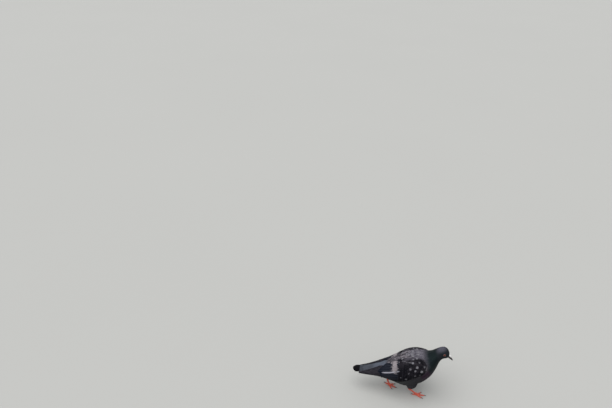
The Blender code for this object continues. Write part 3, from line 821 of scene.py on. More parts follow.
def on_body(points):
    """Not where a wing, the rows of back and tail, a shank or an eye covers the form."""
    x = points[:, 0]
    _, normals = FORM.settle(points)
    below = (normals[:, 2] < -0.3) & (np.abs(points[:, 1]) < STRIPS["coat_undertail"].reach)
    clear = ~near(FORM.wings, points, WING_CLEAR) | (~near(FORM.wings, points, WING_LAP) & (x > SHOULDER))
    clear &= ~((x < BACK_END) & (normals[:, 2] > -0.1)) & ~((x < BELLY_END) & below) & (x > FLANK_END)
    clear &= ~near(FORM.shanks, points, SHANK_CLEAR)
    for eye in EYES.values():
        clear &= np.linalg.norm(points - eye, axis=1) > EYE_RADIUS + LID_CLEAR
    return clear


def build_body_coat():
    for name in STRIPS:
        build_strip(name)
    roots = scattered_roots(ROOTS_SEED, on_body)
    x, y, z = roots.T
    up = neck_height(x, z)
    head = up > HEAD_FROM
    neck = (up > NECK_FROM) & ~head
    rest = ~head & ~neck
    rump = rest & (x < RUMP_FROM)
    under = rest & ~rump & (z < UNDER_TOP)
    back = rest & ~rump & ~under
    tracts = (("head", head), ("neck", neck), ("breast", under), ("back", back), ("rump", rump))
    for index, (name, mask) in enumerate(tracts):
        vane, splay = (HEAD_VANE, HEAD_SPLAY) if name == "head" else (BODY_VANE, BODY_SPLAY)
        for side, sign in SIDES.items():
            coat = Coat()
            mine = roots[mask & ((y >= 0) == (sign > 0))]
            short = near(FORM.thighs, mine, THIGH_LAP) * (1 - ease(mine[:, 2], SHORT_FROM, SHORT_TO))
            lay(coat, vane, mine, COAT_SEED + index * 2 + int(sign > 0), 1 - SHORTER * short, splay)
            coat.build(f"coat_{name}_{side}", body_material())


# ---------------------------------------------------------------- skin, eyes, bill, claws


# Middle height of the tail at its root and tip, and how far its skin draws back from the feathers' ends.
TAIL_MIDDLE, TAIL_BACK = (72.0, 67.0), 5.0
# Degrees from the eye's axis: the opening between the lids and the ring's outer edge; its rise, and the skin's
# depth under the eyeball.
OPENING, LID_EDGE, LID_RISE, SOCKET = 43.0, 53.0, 0.34, 0.9
# Depth of the skin under the wings, in front of SHOULDER and behind it, and under the tail.
SHOULDER_DEPTH, WING_DEPTH, TAIL_DEPTH = 1.9, 4.2, 2.6
# The skin is never deeper than a share of the flesh's thickness, the greater one under a wing behind THIN_FROM.
THICKEST, THIN_SHARE, WING_THIN_SHARE, THIN_FROM = 60.0, 0.36, 0.44, -40.0
# What counts as under a wing or the tail: within these distances of it, and behind TAIL_FROM.
UNDER_WING, UNDER_TAIL, TAIL_FROM = 1.8, 1.2, -84.0
COVERTS_END, SECONDARIES_END = -23.0, -78.0
SCUTE, LEG_SWELL = 1.9, 0.45


def eye_axis(side):
    return unit(np.array((0.16, SIDES[side], 0.03)))


def refine_near(mesh, centres, radius, cuts):
    """Cuts the edges near some places into finer ones."""
    shape = bmesh.new()
    shape.from_mesh(mesh)
    places = [Vector(world(centre)) for centre in centres]
    edges = [
        edge for edge in shape.edges if any((edge.verts[0].co - place).length < radius * MM for place in places)
    ]
    bmesh.ops.subdivide_edges(shape, edges=edges, cuts=cuts, use_grid_fill=True)
    bmesh.ops.triangulate(shape, faces=[face for face in shape.faces if len(face.verts) > 4])
    shape.to_mesh(mesh)
    shape.free()
    mesh.update()


def shape_lids(points):
    """Tucks the skin under each eyeball and raises the bare ring of lid round it."""
    under = EYE_RADIUS - SOCKET
    for side, eye in EYES.items():
        away = points - eye
        reach = np.linalg.norm(away, axis=1)
        angle = np.degrees(np.arccos(np.clip((away @ eye_axis(side)) / np.maximum(reach, 1e-6), -1, 1)))
        across = np.clip((angle - OPENING + 4) / (LID_EDGE - OPENING + 4), 0, 1)
        ring = EYE_RADIUS + 0.1 + LID_RISE * np.sin(np.pi * across) ** 0.8
        shaped = under + (ring - under) * ease(angle, OPENING - 5, OPENING)
        blend = (1 - ease(angle, LID_EDGE, LID_EDGE + 16)) * (reach < EYE_RADIUS + 6)
        points = eye + unit(away) * (reach * (1 - blend) + shaped * blend)[:, None]
    return points


def tuck_tail(points, tail):
    """Draws the skin of the tail in towards its middle, so that the feathers alone give its edges."""
    rest, _ = node_arrays("tail")
    tip = rest[:, 0].min()
    share = ease(points[:, 0], -90.0, -112.0) * tail
    middle = np.interp(points[:, 0], (tip, -80.0), TAIL_MIDDLE[::-1])
    drawn = points.copy()
    drawn[:, 0] += TAIL_BACK * ease(points[:, 0], -120.0, tip) * tail
    drawn[:, 1] *= 1 - 0.22 * share
    drawn[:, 2] = middle + (points[:, 2] - middle) * (1 - 0.45 * share)
    return drawn


def mark_skin(mesh, points, kinds):
    """What the shaders read on the skin, and its two materials."""
    store(mesh, "kind", kinds)
    store(mesh, "root", points)
    store(mesh, "lie", np.tile((0.5, 0.0, 0.5), (len(points), 1)))
    finish_with(mesh, skin_material(), leg_material())


def build_skin():
    mesh = FORM.object.data.copy()
    mesh.name = "skin"
    refine_near(mesh, EYES.values(), radius=9.5, cuts=3)
    points, normals = mesh_arrays(mesh)
    x = points[:, 0]
    _, row, _ = along_line(points)
    wings = near(FORM.wings, points, UNDER_WING)
    tail = near(FORM.tail, points, UNDER_TAIL) & (x < TAIL_FROM)
    depth = np.select([tail, wings & (x > SHOULDER), wings], [TAIL_DEPTH, SHOULDER_DEPTH, WING_DEPTH], row[:, 5])
    thick = np.full(len(points), THICKEST)
    for i, (origin, inward) in enumerate(zip((points - normals * 0.1).tolist(), (-normals).tolist())):
        hit = FORM.tree.ray_cast(origin, inward, THICKEST)
        if hit[0] is not None:
            thick[i] = hit[3]
    depth = np.minimum(depth, np.where(wings & (x < THIN_FROM), WING_THIN_SHARE, THIN_SHARE) * thick)
    points = points - normals * blurred(mesh, depth, 2)[:, None]
    loose = blurred(mesh, wings * ease(-points[:, 0], 60.0, 84.0), 3)
    for _ in range(6):
        calm = np.stack([blurred(mesh, values) for values in points.T], 1)
        points = points + (calm - points) * loose[:, None]
    points = tuck_tail(shape_lids(points), blurred(mesh, tail.astype(float), 4))
    set_points(mesh, points)
    x = points[:, 0]
    kinds = np.zeros((len(points), 3))
    kinds[:, 0] = np.select(
        [tail, wings & (x > COVERTS_END), wings & (x > SECONDARIES_END), wings],
        [RECTRIX, COVERT, SECONDARY, PRIMARY],
    )
    kinds[:, 1] = fleck_at(points)
    mark_skin(mesh, points, kinds)
    skin = linked("skin", mesh)
    legs = [build_leg_skin(side) for side in SIDES]
    with bpy.context.temp_override(active_object=skin, selected_editable_objects=[skin, *legs]):
        bpy.ops.object.join()
    dress(skin, "plumage", *FLESH, *both("shank", "foot"))


def build_leg_skin(side):
    """Shank and foot as one skin, with a low step at the end of each scute."""
    leg = fine_copy(f"leg_skin_{side}", [f"shank_{side}", f"foot_{side}"], 0.5, 7, LEG_SWELL)
    points, normals = mesh_arrays(leg.data)
    points = points - 0.1 * normals
    points[:, 2] = np.maximum(points[:, 2], 0.0)
    shank, _ = node_arrays(f"shank_{side}")
    low = shank[shank[:, 2] < shank[:, 2].min() + 3].mean(0)
    high = shank[shank[:, 2] > shank[:, 2].max() - 3].mean(0)
    up = (points - low) @ unit(high - low)
    out = np.linalg.norm((points - low)[:, :2], axis=1)
    on_shank = ease(up, 2.0, 5.0)
    wave = (np.where(on_shank > 0.5, up, out) / SCUTE) % 1.0
    front = np.where(on_shank > 0.5, ease(normals[:, 0], -0.2, 0.3), ease(normals[:, 2], -0.1, 0.4))
    step = (0.20 * (wave**0.6) * (1 - ease(wave, 0.86, 1.0)) - 0.1) * front
    set_points(leg.data, points + normals * step[:, None])
    mark_skin(leg.data, points, np.stack([wave, front, on_shank], 1))
    leg.data.polygons.foreach_set("material_index", np.ones(len(leg.data.polygons), np.int32))
    return leg


# The eyeball stands this far inside its solid but for the cornea, which fades out between two angles.
CORNEA, CORNEA_FADE = 0.25, (20, 44)


def build_eye(side):
    """An eyeball with its pole on the eye's axis."""
    shape = bmesh.new()
    bmesh.ops.create_uvsphere(shape, u_segments=72, v_segments=48, radius=1.0)
    mesh = bpy.data.meshes.new(f"eyeball_{side}")
    shape.to_mesh(mesh)
    shape.free()
    points = gathered(mesh.vertices, "co", 3).astype(float)
    angle = np.degrees(np.arccos(np.clip(points[:, 2], -1, 1)))
    turn = np.arctan2(points[:, 1], points[:, 0])
    axis = eye_axis(side)
    first = unit(np.cross(axis, (0, 0, 1.0)))
    axes = np.stack([first, np.cross(axis, first), axis])
    bulge = EYE_RADIUS - CORNEA + CORNEA * (1 - ease(angle, *CORNEA_FADE))
    set_points(mesh, points @ axes * bulge[:, None] + EYES[side])
    store(mesh, "gaze", np.stack([angle, np.cos(turn), np.sin(turn)], 1))
    if np.linalg.det(axes) < 0:
        mesh.flip_normals()
    finish_with(mesh, eye_material())
    dress(linked(f"eyeball_{side}", mesh), "eye", f"eye_{side}")


BILL_SOCKET, SOCKET_REACH = np.array((-2.6, 0.0, 1.6)), 3.5
GROOVE_DEPTH, GROOVE_HALF = 0.6, 0.5


def build_hard_piece(name, node, slot, material, voxel, rounds, swell=0.0, shaped=None):
    """A fine copy of one node; shaped(points, normals) then gives its points and the places that its look reads."""
    made = fine_copy(name, [node], voxel, rounds, swell)
    root, _ = mesh_arrays(made.data)
    if shaped:
        rest, _ = node_arrays(node)
        set_points(made.data, np.clip(root, rest.min(0), rest.max(0)))
        points, root = shaped(*mesh_arrays(made.data))
        set_points(made.data, points)
    store(made.data, "root", root)
    finish_with(made.data, material)
    dress(made, slot, node)


def socketed(points, _):
    """The bill's root drawn back into the face."""
    points = points + ease(points[:, :1], BILL_ROOT[0] + SOCKET_REACH, BILL_ROOT[0]) * BILL_SOCKET
    return points, points


def lobed(points, normals):
    """A groove along the middle of the cere."""
    groove = np.exp(-(points[:, 1] / GROOVE_HALF) ** 2)
    return points - normals * (GROOVE_DEPTH * groove * ease(normals[:, 2], 0.0, 0.5))[:, None], points


def build_bill():
    for half in ("upper", "lower"):
        build_hard_piece(f"bill_horn_{half}", f"bill_{half}", "bill", horn_material("bill"), 0.28, 4, 0.24, socketed)
    build_hard_piece("cere_lobes", "cere", "cere", cere_material(), 0.28, 5, 0.25, lobed)


def build_claws():
    for side in SIDES:
        for toe in ("hallux", "inner", "middle", "outer"):
            build_hard_piece(f"horn_{toe}_{side}", f"claw_{toe}_{side}", "claw", horn_material("claw"), 0.22, 2)


# ---------------------------------------------------------------- shaders


def overload(operation):
    """An operator and its reflected form, as a Math node."""
    return (
        lambda self, other: self.maths(operation, self, other),
        lambda self, other: self.maths(operation, other, self),
    )


class Sheet:
    """A socket of a material's nodes; arithmetic on it adds Math nodes."""

    def __init__(self, tree, socket=None):
        self.tree, self.socket = tree, socket

    def node(self, kind, settings=None, sockets=None, out=0):
        made = self.tree.nodes.new(kind)
        for name, value in (settings or {}).items():
            setattr(made, name, value)
        for name, value in (sockets or {}).items():
            if isinstance(value, Sheet):
                self.tree.links.new(value.socket, made.inputs[name])
            else:
                made.inputs[name].default_value = value
        return Sheet(self.tree, made.outputs[out] if made.outputs else None)

    def maths(self, operation, *values):
        """The operation on the values alone; self only says which material."""
        return self.node("ShaderNodeMath", {"operation": operation}, dict(enumerate(values)))

    __add__, __radd__ = overload("ADD")
    __sub__, __rsub__ = overload("SUBTRACT")
    __mul__, __rmul__ = overload("MULTIPLY")

    def __abs__(self):
        return self.maths("ABSOLUTE", self)

    def ease(self, low, high):
        """0 at low and 1 at high, with a soft step between."""
        return self.node("ShaderNodeMapRange", {"interpolation_type": "SMOOTHSTEP"},
                         {"Value": self, "From Min": low, "From Max": high})

    def attribute(self, name):
        return self.node("ShaderNodeAttribute", {"attribute_name": name}, out="Vector")

    def parts(self, vector):
        split = self.node("ShaderNodeSeparateXYZ", None, {0: vector})
        return [Sheet(self.tree, socket) for socket in split.socket.node.outputs]

    def vector(self, operation, *values, out=0, **named):
        return self.node("ShaderNodeVectorMath", {"operation": operation}, {**dict(enumerate(values)), **named}, out)

    def noise(self, place, scale, detail=2.0):
        return self.node("ShaderNodeTexNoise", None, {"Vector": place, "Scale": scale, "Detail": detail})

    def stretched(self, place, stretch, scale=1.0, detail=1.0):
        """Noise drawn out along the axes where stretch is small."""
        return self.noise(self.vector("MULTIPLY", place, stretch), scale, detail)

    def mix(self, amount, first, second):
        """The first colour where amount is 0, the second where it is 1."""
        first, second = (colour if isinstance(colour, Sheet) else (*colour, 1) for colour in (first, second))
        return self.node("ShaderNodeMix", {"data_type": "RGBA"}, {0: amount, 6: first, 7: second}, 2)

    def layered(self, colour, *layers):
        """The colour with each (amount, colour) over it in turn."""
        for amount, over in layers:
            colour = self.mix(amount, colour, over)
        return colour

    def tinted(self, colour, amount):
        """The colour times a number."""
        return self.vector("SCALE", colour, Scale=amount)

    def bump(self, height, distance, strength):
        return self.node("ShaderNodeBump", None, {"Height": height, "Distance": distance, "Strength": strength})

    def place(self):
        """This spot in millimetres from the mid-point between the feet."""
        spot = self.node("ShaderNodeNewGeometry", out="Position")
        return self.tinted(self.vector("SUBTRACT", spot, (STANCE_X, 0.0, 0.0)), 1 / MM)


MATERIALS = {}


def finish(title):
    """Turns a function that gives a shader's sockets into one that gives the material, made once for each title."""
    def wrap(make):
        def material(*details):
            name = title.format(*details)
            if name not in MATERIALS:
                made = MATERIALS[name] = bpy.data.materials.new(name)
                made.use_nodes = True
                made.node_tree.nodes.clear()
                nodes = Sheet(made.node_tree)
                shader = nodes.node("ShaderNodeBsdfPrincipled", None, make(nodes, *details))
                nodes.node("ShaderNodeOutputMaterial", None, {"Surface": shader})
            return MATERIALS[name]
        return material
    return wrap


def plumage(nodes, root, lie, kind, place):
    """Colour and gloss of the plumage, the same on the skin and on every vane; lengths are millimetres."""
    look = bpy.context.scene.pigeon_plumage
    rx, ry, rz = nodes.parts(root)
    along, across, seed = nodes.parts(lie)
    tract, fleck, extra = nodes.parts(kind)
    px, py, pz = nodes.parts(place)
    broad = nodes.noise(root, 0.055)
    patchy = nodes.noise(root, 0.11, 3.0)
    up = neck_height(rx, rz) + (broad - 0.5) * 7.0

    # The body: belly, breast and thighs below; back, mantle, rump and the root of the tail above.
    belly = nodes.mix(rx.ease(-30.0, 50.0), look.belly, look.breast)
    under = nodes.mix(rz.ease(50.0, 30.0) * rx.ease(60.0, 20.0), belly, look.thigh)
    back = nodes.mix((patchy + (seed - 0.5) * 0.25).ease(0.4, 0.66), look.back, look.pale_back)
    pick = seed + (patchy - 0.5) * 2.6 + abs(ry).ease(15.0, 3.0) * 0.2
    mantle = nodes.layered(
        look.mantle,
        (pick.ease(0.6, 0.9) * along.ease(0.35, 0.85), look.mantle_pale),
        (pick.ease(0.42, 0.2) * rx.ease(52.0, 36.0), look.back),
    )
    above = nodes.layered(
        back,
        ((rx + (broad - 0.5) * 20.0).ease(8.0, 34.0) * abs(ry).ease(30.0, 10.0), mantle),
        (rx.ease(-52.0, -66.0), look.rump),
        (rx.ease(-84.0, -110.0), look.tail_pale),
    )
    rise = nodes.maths("MAXIMUM", rx * 0.42, -17.0) - rx.ease(-96.0, -126.0) * 8.0
    top = (rz - rise + (broad - 0.5) * 8.0).ease(86.0, 99.0)

    # The neck and the head.
    nape = nodes.layered(
        look.neck_green,
        (patchy.ease(0.5, 0.66) * 0.45, look.neck_dark),
        (rz.ease(140.0, 112.0) * 0.8, look.neck_dark),
        (rz.ease(128.0, 150.0) * up.ease(14.0, 2.0) * 0.5, look.mantle),
    )
    neck = up.ease(-6.0, 5.0)
    purple = up.ease(-28.0, -16.0) * up.ease(9.0, -4.0) * rz.ease(142.0, 120.0) * rz.ease(82.0, 96.0)
    face = up.ease(30.0, 42.0)
    crown = (rz + (broad - 0.5) * 6.0 - up * 0.16).ease(167.0, 182.0) * up.ease(24.0, 46.0)
    sheen = nodes.maths("MAXIMUM", neck, purple) * (1.0 - face) * (1.0 - crown)

    # The coverts: light flecks with frayed edges, and the grey feathers along the back over them.
    fray = (nodes.noise(place, 0.7) - 0.5) * 0.34
    tip = (0.55 + (along + fray).ease(0.5, 0.8) * 0.45) * (along + fray * 0.6).ease(1.1, 0.95)
    frayed = nodes.stretched(lie, (1.6, 3.4, 50.0), detail=3.0)
    light = (fleck * 1.25 + (frayed - 0.5) * 0.9).ease(0.15, 0.8) * fleck.ease(0.04, 0.2) * tip
    scapular = abs(py).ease(32.0, 20.0) * pz.ease(134.0, 144.0) * (0.35 + patchy.ease(0.35, 0.6) * 0.65)
    cover = nodes.layered(
        look.covert,
        # Patches of worn, browner coverts, laid stronger towards the top of the wing: partly painted light from above.
        (patchy.ease(0.4, 0.65) * pz.ease(95.0, 140.0), look.covert_worn_and_lit),
        (along.ease(0.9, 1.0) * 0.22, look.mantle),
        (scapular * 0.6, look.mantle),
        (light, look.fleck),
    )

    # The secondaries: pale bases with ragged ends, dark ends, and a white edge on one.
    streaks = nodes.stretched(place, (0.03, 0.34, 0.34))
    lines = nodes.stretched(place, (0.05, 1.1, 1.1))
    fronts = px + (streaks - 0.5) * 26.0 + (lines - 0.5) * 8.0
    ridge = abs(py).ease(15.0, 6.0) * 8.0
    low = (pz + (streaks - 0.5) * 22.0).ease(98.0, 106.0)
    pale = (fronts + ridge).ease(-43.0, -38.0) * fronts.ease(-23.0, -28.0) * low
    # The pale band fades towards the edge that the next feather covers: painted shade of the overlap.
    unshaded_side = (across + (lines - 0.5) * 1.6).ease(-0.35, 0.15)
    shaft = abs(across).ease(0.07, 0.03)
    second = nodes.layered(
        look.bar,
        (pale * (0.3 + unshaded_side * 0.7), look.pale_band),
        (across.ease(0.42, 0.55) * extra * fronts.ease(-76.0, -64.0), look.pale_line),
        (shaft * 0.3, look.mantle),
    )

    # The primaries, then the tail feathers with the dark band at their ends.
    first = nodes.layered(
        look.primary,
        (streaks.ease(0.4, 0.7) * 0.5, look.primary_edge),
        (abs(across).ease(0.84, 0.96) * 0.8, look.primary_edge),
        (shaft * 0.6, look.covert),
    )
    band = px.ease(-140.5, -144.0)
    fan = nodes.layered(
        look.tail,
        (streaks.ease(0.35, 0.7), look.tail_pale),
        (band, look.tail_band),
        (across.ease(0.78, 0.9) * (1.0 - band) * 0.5, look.rump),
        (shaft * 0.5, look.tail_band),
    )

    on_wing = tract.ease(0.4, 0.6)
    colour = nodes.layered(
        under,
        (top, above),
        (neck, nape),
        (purple, look.neck_purple),
        (face, look.face),
        (crown, look.head),
        (light, look.fleck),
        (on_wing, cover),
        (tract.ease(1.4, 1.6), second),
        (tract.ease(2.4, 2.6), first),
        (tract.ease(3.4, 3.6), fan),
    )
    # Each vane a little lighter or darker at random, and darker at its root: painted shade where the vanes above cover
    # it.
    shade = (0.84 + seed * 0.24) * (0.8 + along.ease(0.1, 0.8) * 0.25)
    return nodes.tinted(colour, shade), sheen * (1.0 - on_wing)


BARB_PITCH = 0.55


def barbs(nodes, lie, span):
    """Fine barbs that slant from the shaft to the edges."""
    along, across, _ = nodes.parts(lie)
    length, half, _ = nodes.parts(span)
    slant = along * length - abs(across) * half * 0.9
    wobble = nodes.stretched(lie, (6.0, 2.0, 40.0), detail=2.0)
    return nodes.maths("SINE", slant * (2 * math.pi / BARB_PITCH) + wobble * 5.0)


def feathered(nodes, rough, barbed=True):
    lie, root, kind = (nodes.attribute(name) for name in ("lie", "root", "kind"))
    place = nodes.place()
    colour, sheen = plumage(nodes, root, lie, kind, place)
    height = nodes.noise(place, 1.3, 4.0)
    if barbed:
        height = height * 0.7 + barbs(nodes, lie, nodes.attribute("span")) * 0.16
    return {
        "Base Color": nodes.tinted(colour, 0.86 + height * 0.3),
        "Roughness": rough - sheen * 0.14,
        "Metallic": sheen * 0.3,
        "Specular IOR Level": 0.035,
        "Normal": nodes.bump(height, 0.00016, 0.6),
    }


@finish("body plumage")
def body_material(nodes):
    return feathered(nodes, 0.62)


@finish("wing {}")
def wing_material(nodes, _, rough):
    return feathered(nodes, rough)


@finish("plumage skin")
def skin_material(nodes):
    look = bpy.context.scene.pigeon_head
    sockets = feathered(nodes, 0.7, barbed=False)
    place = nodes.place()
    right, left = (
        nodes.vector("DISTANCE", place, eye.tolist(), out="Value").ease(EYE_RADIUS + 1.5, EYE_RADIUS + 0.9)
        for eye in EYES.values()
    )
    lid = nodes.mix(nodes.noise(place, 2.2, 3.0), look.lid, look.lid_shade)
    sockets["Base Color"] = nodes.mix(right + left, sockets["Base Color"], lid)
    return sockets


@finish("scaled leg")
def leg_material(nodes):
    look = bpy.context.scene.pigeon_legs
    place = nodes.place()
    _, _, height = nodes.parts(place)
    wave, front, _ = nodes.parts(nodes.attribute("kind"))
    fine = nodes.noise(place, 3.0, 3.0)
    colour = nodes.layered(
        look.scale,
        (nodes.noise(place, 0.5, 4.0).ease(0.35, 0.65), look.scale_deep),
        (wave.ease(0.8, 0.98) * front * 0.7, look.seam),
        (wave.ease(0.75, 0.5) * wave.ease(0.2, 0.5) * front * 0.25, look.dust),
        (height.ease(1.6, 0.2) * 0.6, look.sole),
    )
    return {
        "Base Color": colour,
        "Roughness": 0.42 + fine * 0.2,
        "Specular IOR Level": 0.5,
        "Normal": nodes.bump(fine, 0.0001, 0.6),
    }


# Degrees from the middle of the eye.
PUPIL, IRIS_RIM = 16.0, 36.0


@finish("wet eye")
def eye_material(nodes):
    look = bpy.context.scene.pigeon_head
    angle, c, s = nodes.parts(nodes.attribute("gaze"))
    spokes = nodes.noise(nodes.node("ShaderNodeCombineXYZ", None, {0: c * 6.0, 1: s * 6.0, 2: angle * 0.05}), 3.0, 4.0)
    iris = nodes.layered(
        look.iris,
        (spokes.ease(0.35, 0.65), look.iris_deep),
        (angle.ease(25.0, 18.5) * 0.7, look.iris_inner),
    )
    colour = nodes.mix(angle.ease(PUPIL, PUPIL + 1.0), look.pupil, iris)
    return {
        "Base Color": nodes.mix(angle.ease(IRIS_RIM, IRIS_RIM + 6.0), colour, look.eye_rim),
        "Roughness": 0.4,
        "Specular IOR Level": 0.0,
        "Coat Weight": 0.55,
        "Coat Roughness": 0.03,
    }


@finish("{} horn")
def horn_material(nodes, _):
    look = bpy.context.scene.pigeon_head
    grain = nodes.stretched(nodes.attribute("root"), (0.6, 3.0, 3.0), 1.2, 3.0)
    return {
        "Base Color": nodes.mix(grain.ease(0.35, 0.7), look.horn, look.horn_pale),
        "Roughness": 0.3 + grain * 0.22,
        "Normal": nodes.bump(grain, 0.00003, 0.4),
    }


@finish("powdery cere")
def cere_material(nodes):
    look = bpy.context.scene.pigeon_head
    place = nodes.attribute("root")
    powder = nodes.noise(place, 1.6, 5.0)
    cells = nodes.node("ShaderNodeTexVoronoi", None, {"Vector": place, "Scale": 2.6})
    return {
        "Base Color": nodes.mix(powder.ease(0.35, 0.7), look.cere, look.cere_shade),
        "Roughness": 0.85,
        "Normal": nodes.bump(powder + cells * 0.3, 0.00005, 0.5),
    }


@finish("pale floor")
def floor_material(nodes):
    look = bpy.context.scene.pigeon_stage
    cloud = nodes.noise(nodes.node("ShaderNodeNewGeometry", out="Position"), 0.8, 3.0)
    colour = nodes.mix(cloud, look.floor, look.floor * 0.97)
    return {"Base Color": colour, "Roughness": 0.9, "Specular IOR Level": 0.2}


# ---------------------------------------------------------------- stage


CAMERA_PLACE, CAMERA_AIM = (-0.0425, -1.4968, 1.378), (-0.1562, 0.8858, -0.4369)
FLOOR_REACH = 60.0
KEY_AIM = (0.25, 0.35, -1.0)


def aimed(made, direction):
    made.rotation_mode = "QUATERNION"
    made.rotation_quaternion = Vector(direction).to_track_quat("-Z", "Y")


def build_stage():
    look = bpy.context.scene.pigeon_stage
    bpy.ops.mesh.primitive_plane_add(size=FLOOR_REACH * 2, location=(0, 0, 0))
    floor = bpy.context.active_object
    floor.name = "floor"
    finish_with(floor.data, floor_material())
    camera = linked("camera", bpy.data.cameras.new("camera"))
    camera.location = CAMERA_PLACE
    aimed(camera, CAMERA_AIM)
    camera.data.lens = look.lens
    camera.data.sensor_width = 36.0
    camera.data.clip_start, camera.data.clip_end = 0.01, 200.0
    bpy.context.scene.camera = camera
    sun = bpy.data.lights.new("soft key", "SUN")
    sun.energy, sun.angle = look.key_strength, look.key_spread
    aimed(linked("soft key", sun), KEY_AIM)
    studio = bpy.data.worlds.new("studio")
    studio.use_nodes = True
    ground = studio.node_tree.nodes["Background"]
    ground.inputs["Color"].default_value = (*look.sky, 1)
    ground.inputs["Strength"].default_value = look.sky_strength
    bpy.context.scene.world = studio
    bpy.context.scene.view_settings.view_transform = "Standard"


# ---------------------------------------------------------------- settings, operators, panel


def tint(name, text, colour):
    return FloatVectorProperty(name=name, description=text, default=colour, subtype="COLOR", min=0, max=1)


class PlumageLook(bpy.types.PropertyGroup):
    """Colours of the feathers."""

    head: tint("Crown", "Grey-mauve crown", (0.092, 0.088, 0.112))
    face: tint("Face", "Dark slate face", (0.016, 0.019, 0.023))
    neck_green: tint("Neck green", "Upper neck, under its green gloss", (0.0098, 0.0155, 0.0165))
    neck_purple: tint("Neck purple", "Foot of the neck, under its purple gloss", (0.027, 0.0145, 0.027))
    neck_dark: tint("Neck dark", "Dark slate of the neck", (0.0085, 0.01, 0.0145))
    mantle: tint("Mantle", "Grey-mauve of the shoulders", (0.092, 0.085, 0.103))
    mantle_pale: tint("Mantle, pale", "Lighter feathers of the shoulders", (0.138, 0.129, 0.149))
    back: tint("Back", "Dark feathers of the back", (0.036, 0.033, 0.04))
    pale_back: tint("Back, pale", "Pale patches of the back", (0.15, 0.135, 0.148))
    rump: tint("Rump", "Lilac grey above the tail", (0.088, 0.098, 0.124))
    breast: tint("Breast", "Grey-brown breast", (0.027, 0.026, 0.03))
    belly: tint("Belly", "Grey belly", (0.052, 0.055, 0.056))
    thigh: tint("Thigh", "Bluish grey thighs", (0.05, 0.054, 0.066))
    covert: tint("Coverts", "Near-black wing coverts", (0.0036, 0.0035, 0.0054))
    # Worn, browner coverts; the plumage lays them stronger towards the top of the wing as painted light from above.
    covert_worn_and_lit: tint("Coverts, worn", "Browner wing coverts", (0.019, 0.0165, 0.0205))
    fleck: tint("Fleck", "Light fleck near a covert's tip", (0.17, 0.165, 0.179))
    bar: tint("Wing bar", "Blue-black ends of the secondaries", (0.0038, 0.0058, 0.0118))
    pale_band: tint("Pale band", "Pinkish bases of the secondaries", (0.255, 0.225, 0.236))
    pale_line: tint("Pale line", "White edge of one tertial", (0.41, 0.4, 0.455))
    primary: tint("Primaries", "Purple-brown grey of the primaries", (0.016, 0.0145, 0.019))
    primary_edge: tint("Primaries, edge", "Lighter webs of the primaries", (0.036, 0.032, 0.039))
    tail: tint("Tail", "Bluish grey of the tail", (0.044, 0.047, 0.058))
    tail_pale: tint("Tail, pale", "Lighter webs of the tail", (0.056, 0.06, 0.073))
    tail_band: tint("Tail band", "Black band at the tail's end", (0.004, 0.004, 0.005))


class HeadLook(bpy.types.PropertyGroup):
    """Colours of eye, lid, bill, claws and cere."""

    pupil: tint("Pupil", "Black pupil", (0.002, 0.002, 0.002))
    iris: tint("Iris", "Orange-red iris", (0.165, 0.024, 0.011))
    iris_deep: tint("Iris, deep", "Darker spokes of the iris", (0.1, 0.012, 0.008))
    iris_inner: tint("Iris, inner", "Yellower ring round the pupil", (0.3, 0.085, 0.02))
    eye_rim: tint("Eye rim", "Dark rim of the eyeball", (0.012, 0.005, 0.005))
    lid: tint("Lid", "Bare skin round the eye", (0.11, 0.1, 0.108))
    lid_shade: tint("Lid, shade", "Creases round the eye", (0.055, 0.048, 0.054))
    horn: tint("Horn", "Dark horn of bill and claws", (0.022, 0.02, 0.022))
    horn_pale: tint("Horn, pale", "Worn horn", (0.06, 0.052, 0.052))
    cere: tint("Cere", "White cere", (0.86, 0.85, 0.83))
    cere_shade: tint("Cere, shade", "Pinkish folds of the cere", (0.66, 0.62, 0.61))


class LegLook(bpy.types.PropertyGroup):
    """Colours of the scaled legs."""

    scale: tint("Scutes", "Orange-red scutes", (0.6, 0.095, 0.045))
    scale_deep: tint("Scutes, deep", "Deeper red scutes", (0.42, 0.045, 0.028))
    seam: tint("Seams", "Darker skin between scutes", (0.24, 0.025, 0.018))
    dust: tint("Dust", "Pale worn faces of the scutes", (0.72, 0.22, 0.15))
    sole: tint("Soles", "Grey-pink soles", (0.3, 0.12, 0.1))


class StageLook(bpy.types.PropertyGroup):
    """Floor, lights and camera."""

    floor: tint("Floor", "Plain pale floor", (0.43, 0.425, 0.405))
    sky: tint("Sky", "Light from all round", (0.94, 0.97, 1.0))
    sky_strength: FloatProperty(name="Sky strength", description="Strength of the light from all round", default=0.75)
    key_strength: FloatProperty(name="Key", description="Strength of the soft key light", default=2.2)
    key_spread: FloatProperty(name="Key spread", description="Softness of the key", default=1.2, subtype="ANGLE")
    lens: FloatProperty(name="Lens", description="Focal length in millimetres", default=35.0)


GROUPS = {
    "pigeon_plumage": PlumageLook,
    "pigeon_head": HeadLook,
    "pigeon_legs": LegLook,
    "pigeon_stage": StageLook,
}


class PIGEON_OT_skin(bpy.types.Operator):
    """Lay one skin over the flesh, with the lids and the scaled legs"""

    bl_idname = "pigeon.skin"
    bl_label = "Skin"

    def execute(self, context):
        build_skin()
        return {"FINISHED"}


class PIGEON_OT_body_coat(bpy.types.Operator):
    """Lay the small feathers of head, neck and body"""

    bl_idname = "pigeon.body_coat"
    bl_label = "Body coat"

    def execute(self, context):
        build_body_coat()
        return {"FINISHED"}


class PIGEON_OT_coverts(bpy.types.Operator):
    """Lay the rows of wing coverts"""

    bl_idname = "pigeon.coverts"
    bl_label = "Wing coverts"

    def execute(self, context):
        for side in SIDES:
            build_coverts(side)
        return {"FINISHED"}


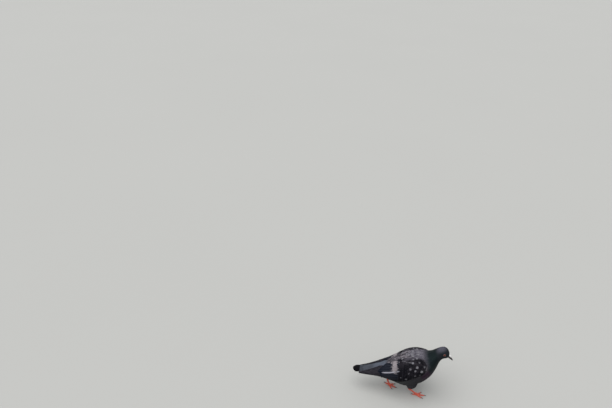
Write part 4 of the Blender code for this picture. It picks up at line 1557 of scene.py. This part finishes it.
class PIGEON_OT_quills(bpy.types.Operator):
    """Lay the flight feathers and the tail feathers"""

    bl_idname = "pigeon.quills"
    bl_label = "Flight and tail feathers"

    def execute(self, context):
        for side in SIDES:
            build_quills(side)
        build_tail()
        return {"FINISHED"}


class PIGEON_OT_head(bpy.types.Operator):
    """Make the eyes, the bill and the cere"""

    bl_idname = "pigeon.head"
    bl_label = "Eyes, bill and cere"

    def execute(self, context):
        for side in SIDES:
            build_eye(side)
        build_bill()
        return {"FINISHED"}


class PIGEON_OT_claws(bpy.types.Operator):
    """Make the eight claws"""

    bl_idname = "pigeon.claws"
    bl_label = "Claws"

    def execute(self, context):
        build_claws()
        return {"FINISHED"}


class PIGEON_OT_stage(bpy.types.Operator):
    """Set the floor, the soft lights and the camera"""

    bl_idname = "pigeon.stage"
    bl_label = "Stage"

    def execute(self, context):
        build_stage()
        return {"FINISHED"}


OPERATORS = (
    PIGEON_OT_skin, PIGEON_OT_body_coat, PIGEON_OT_coverts, PIGEON_OT_quills, PIGEON_OT_head, PIGEON_OT_claws,
    PIGEON_OT_stage,
)


class PIGEON_PT_dresser(bpy.types.Panel):
    """Lists the pieces and their colours"""

    bl_label = "Pigeon dresser"
    bl_idname = "PIGEON_PT_dresser"
    bl_space_type = "VIEW_3D"
    bl_region_type = "UI"
    bl_category = "Pigeon"

    def draw(self, context):
        for operator in OPERATORS:
            self.layout.operator(operator.bl_idname)
        for name, group in GROUPS.items():
            box = self.layout.box()
            for setting in group.__annotations__:
                box.prop(getattr(context.scene, name), setting)


def register():
    for name, group in GROUPS.items():
        bpy.utils.register_class(group)
        setattr(bpy.types.Scene, name, PointerProperty(type=group))
    for made in (*OPERATORS, PIGEON_PT_dresser):
        bpy.utils.register_class(made)


def unregister():
    for made in (PIGEON_PT_dresser, *reversed(OPERATORS)):
        bpy.utils.unregister_class(made)
    for name, group in reversed(GROUPS.items()):
        delattr(bpy.types.Scene, name)
        bpy.utils.unregister_class(group)


def main():
    global FORM
    register()
    FORM = Form()
    for operator in OPERATORS:
        space, name = operator.bl_idname.split(".")
        getattr(getattr(bpy.ops, space), name)()
    bpy.data.objects.remove(FORM.object)


if __name__ == "__main__":
    main()
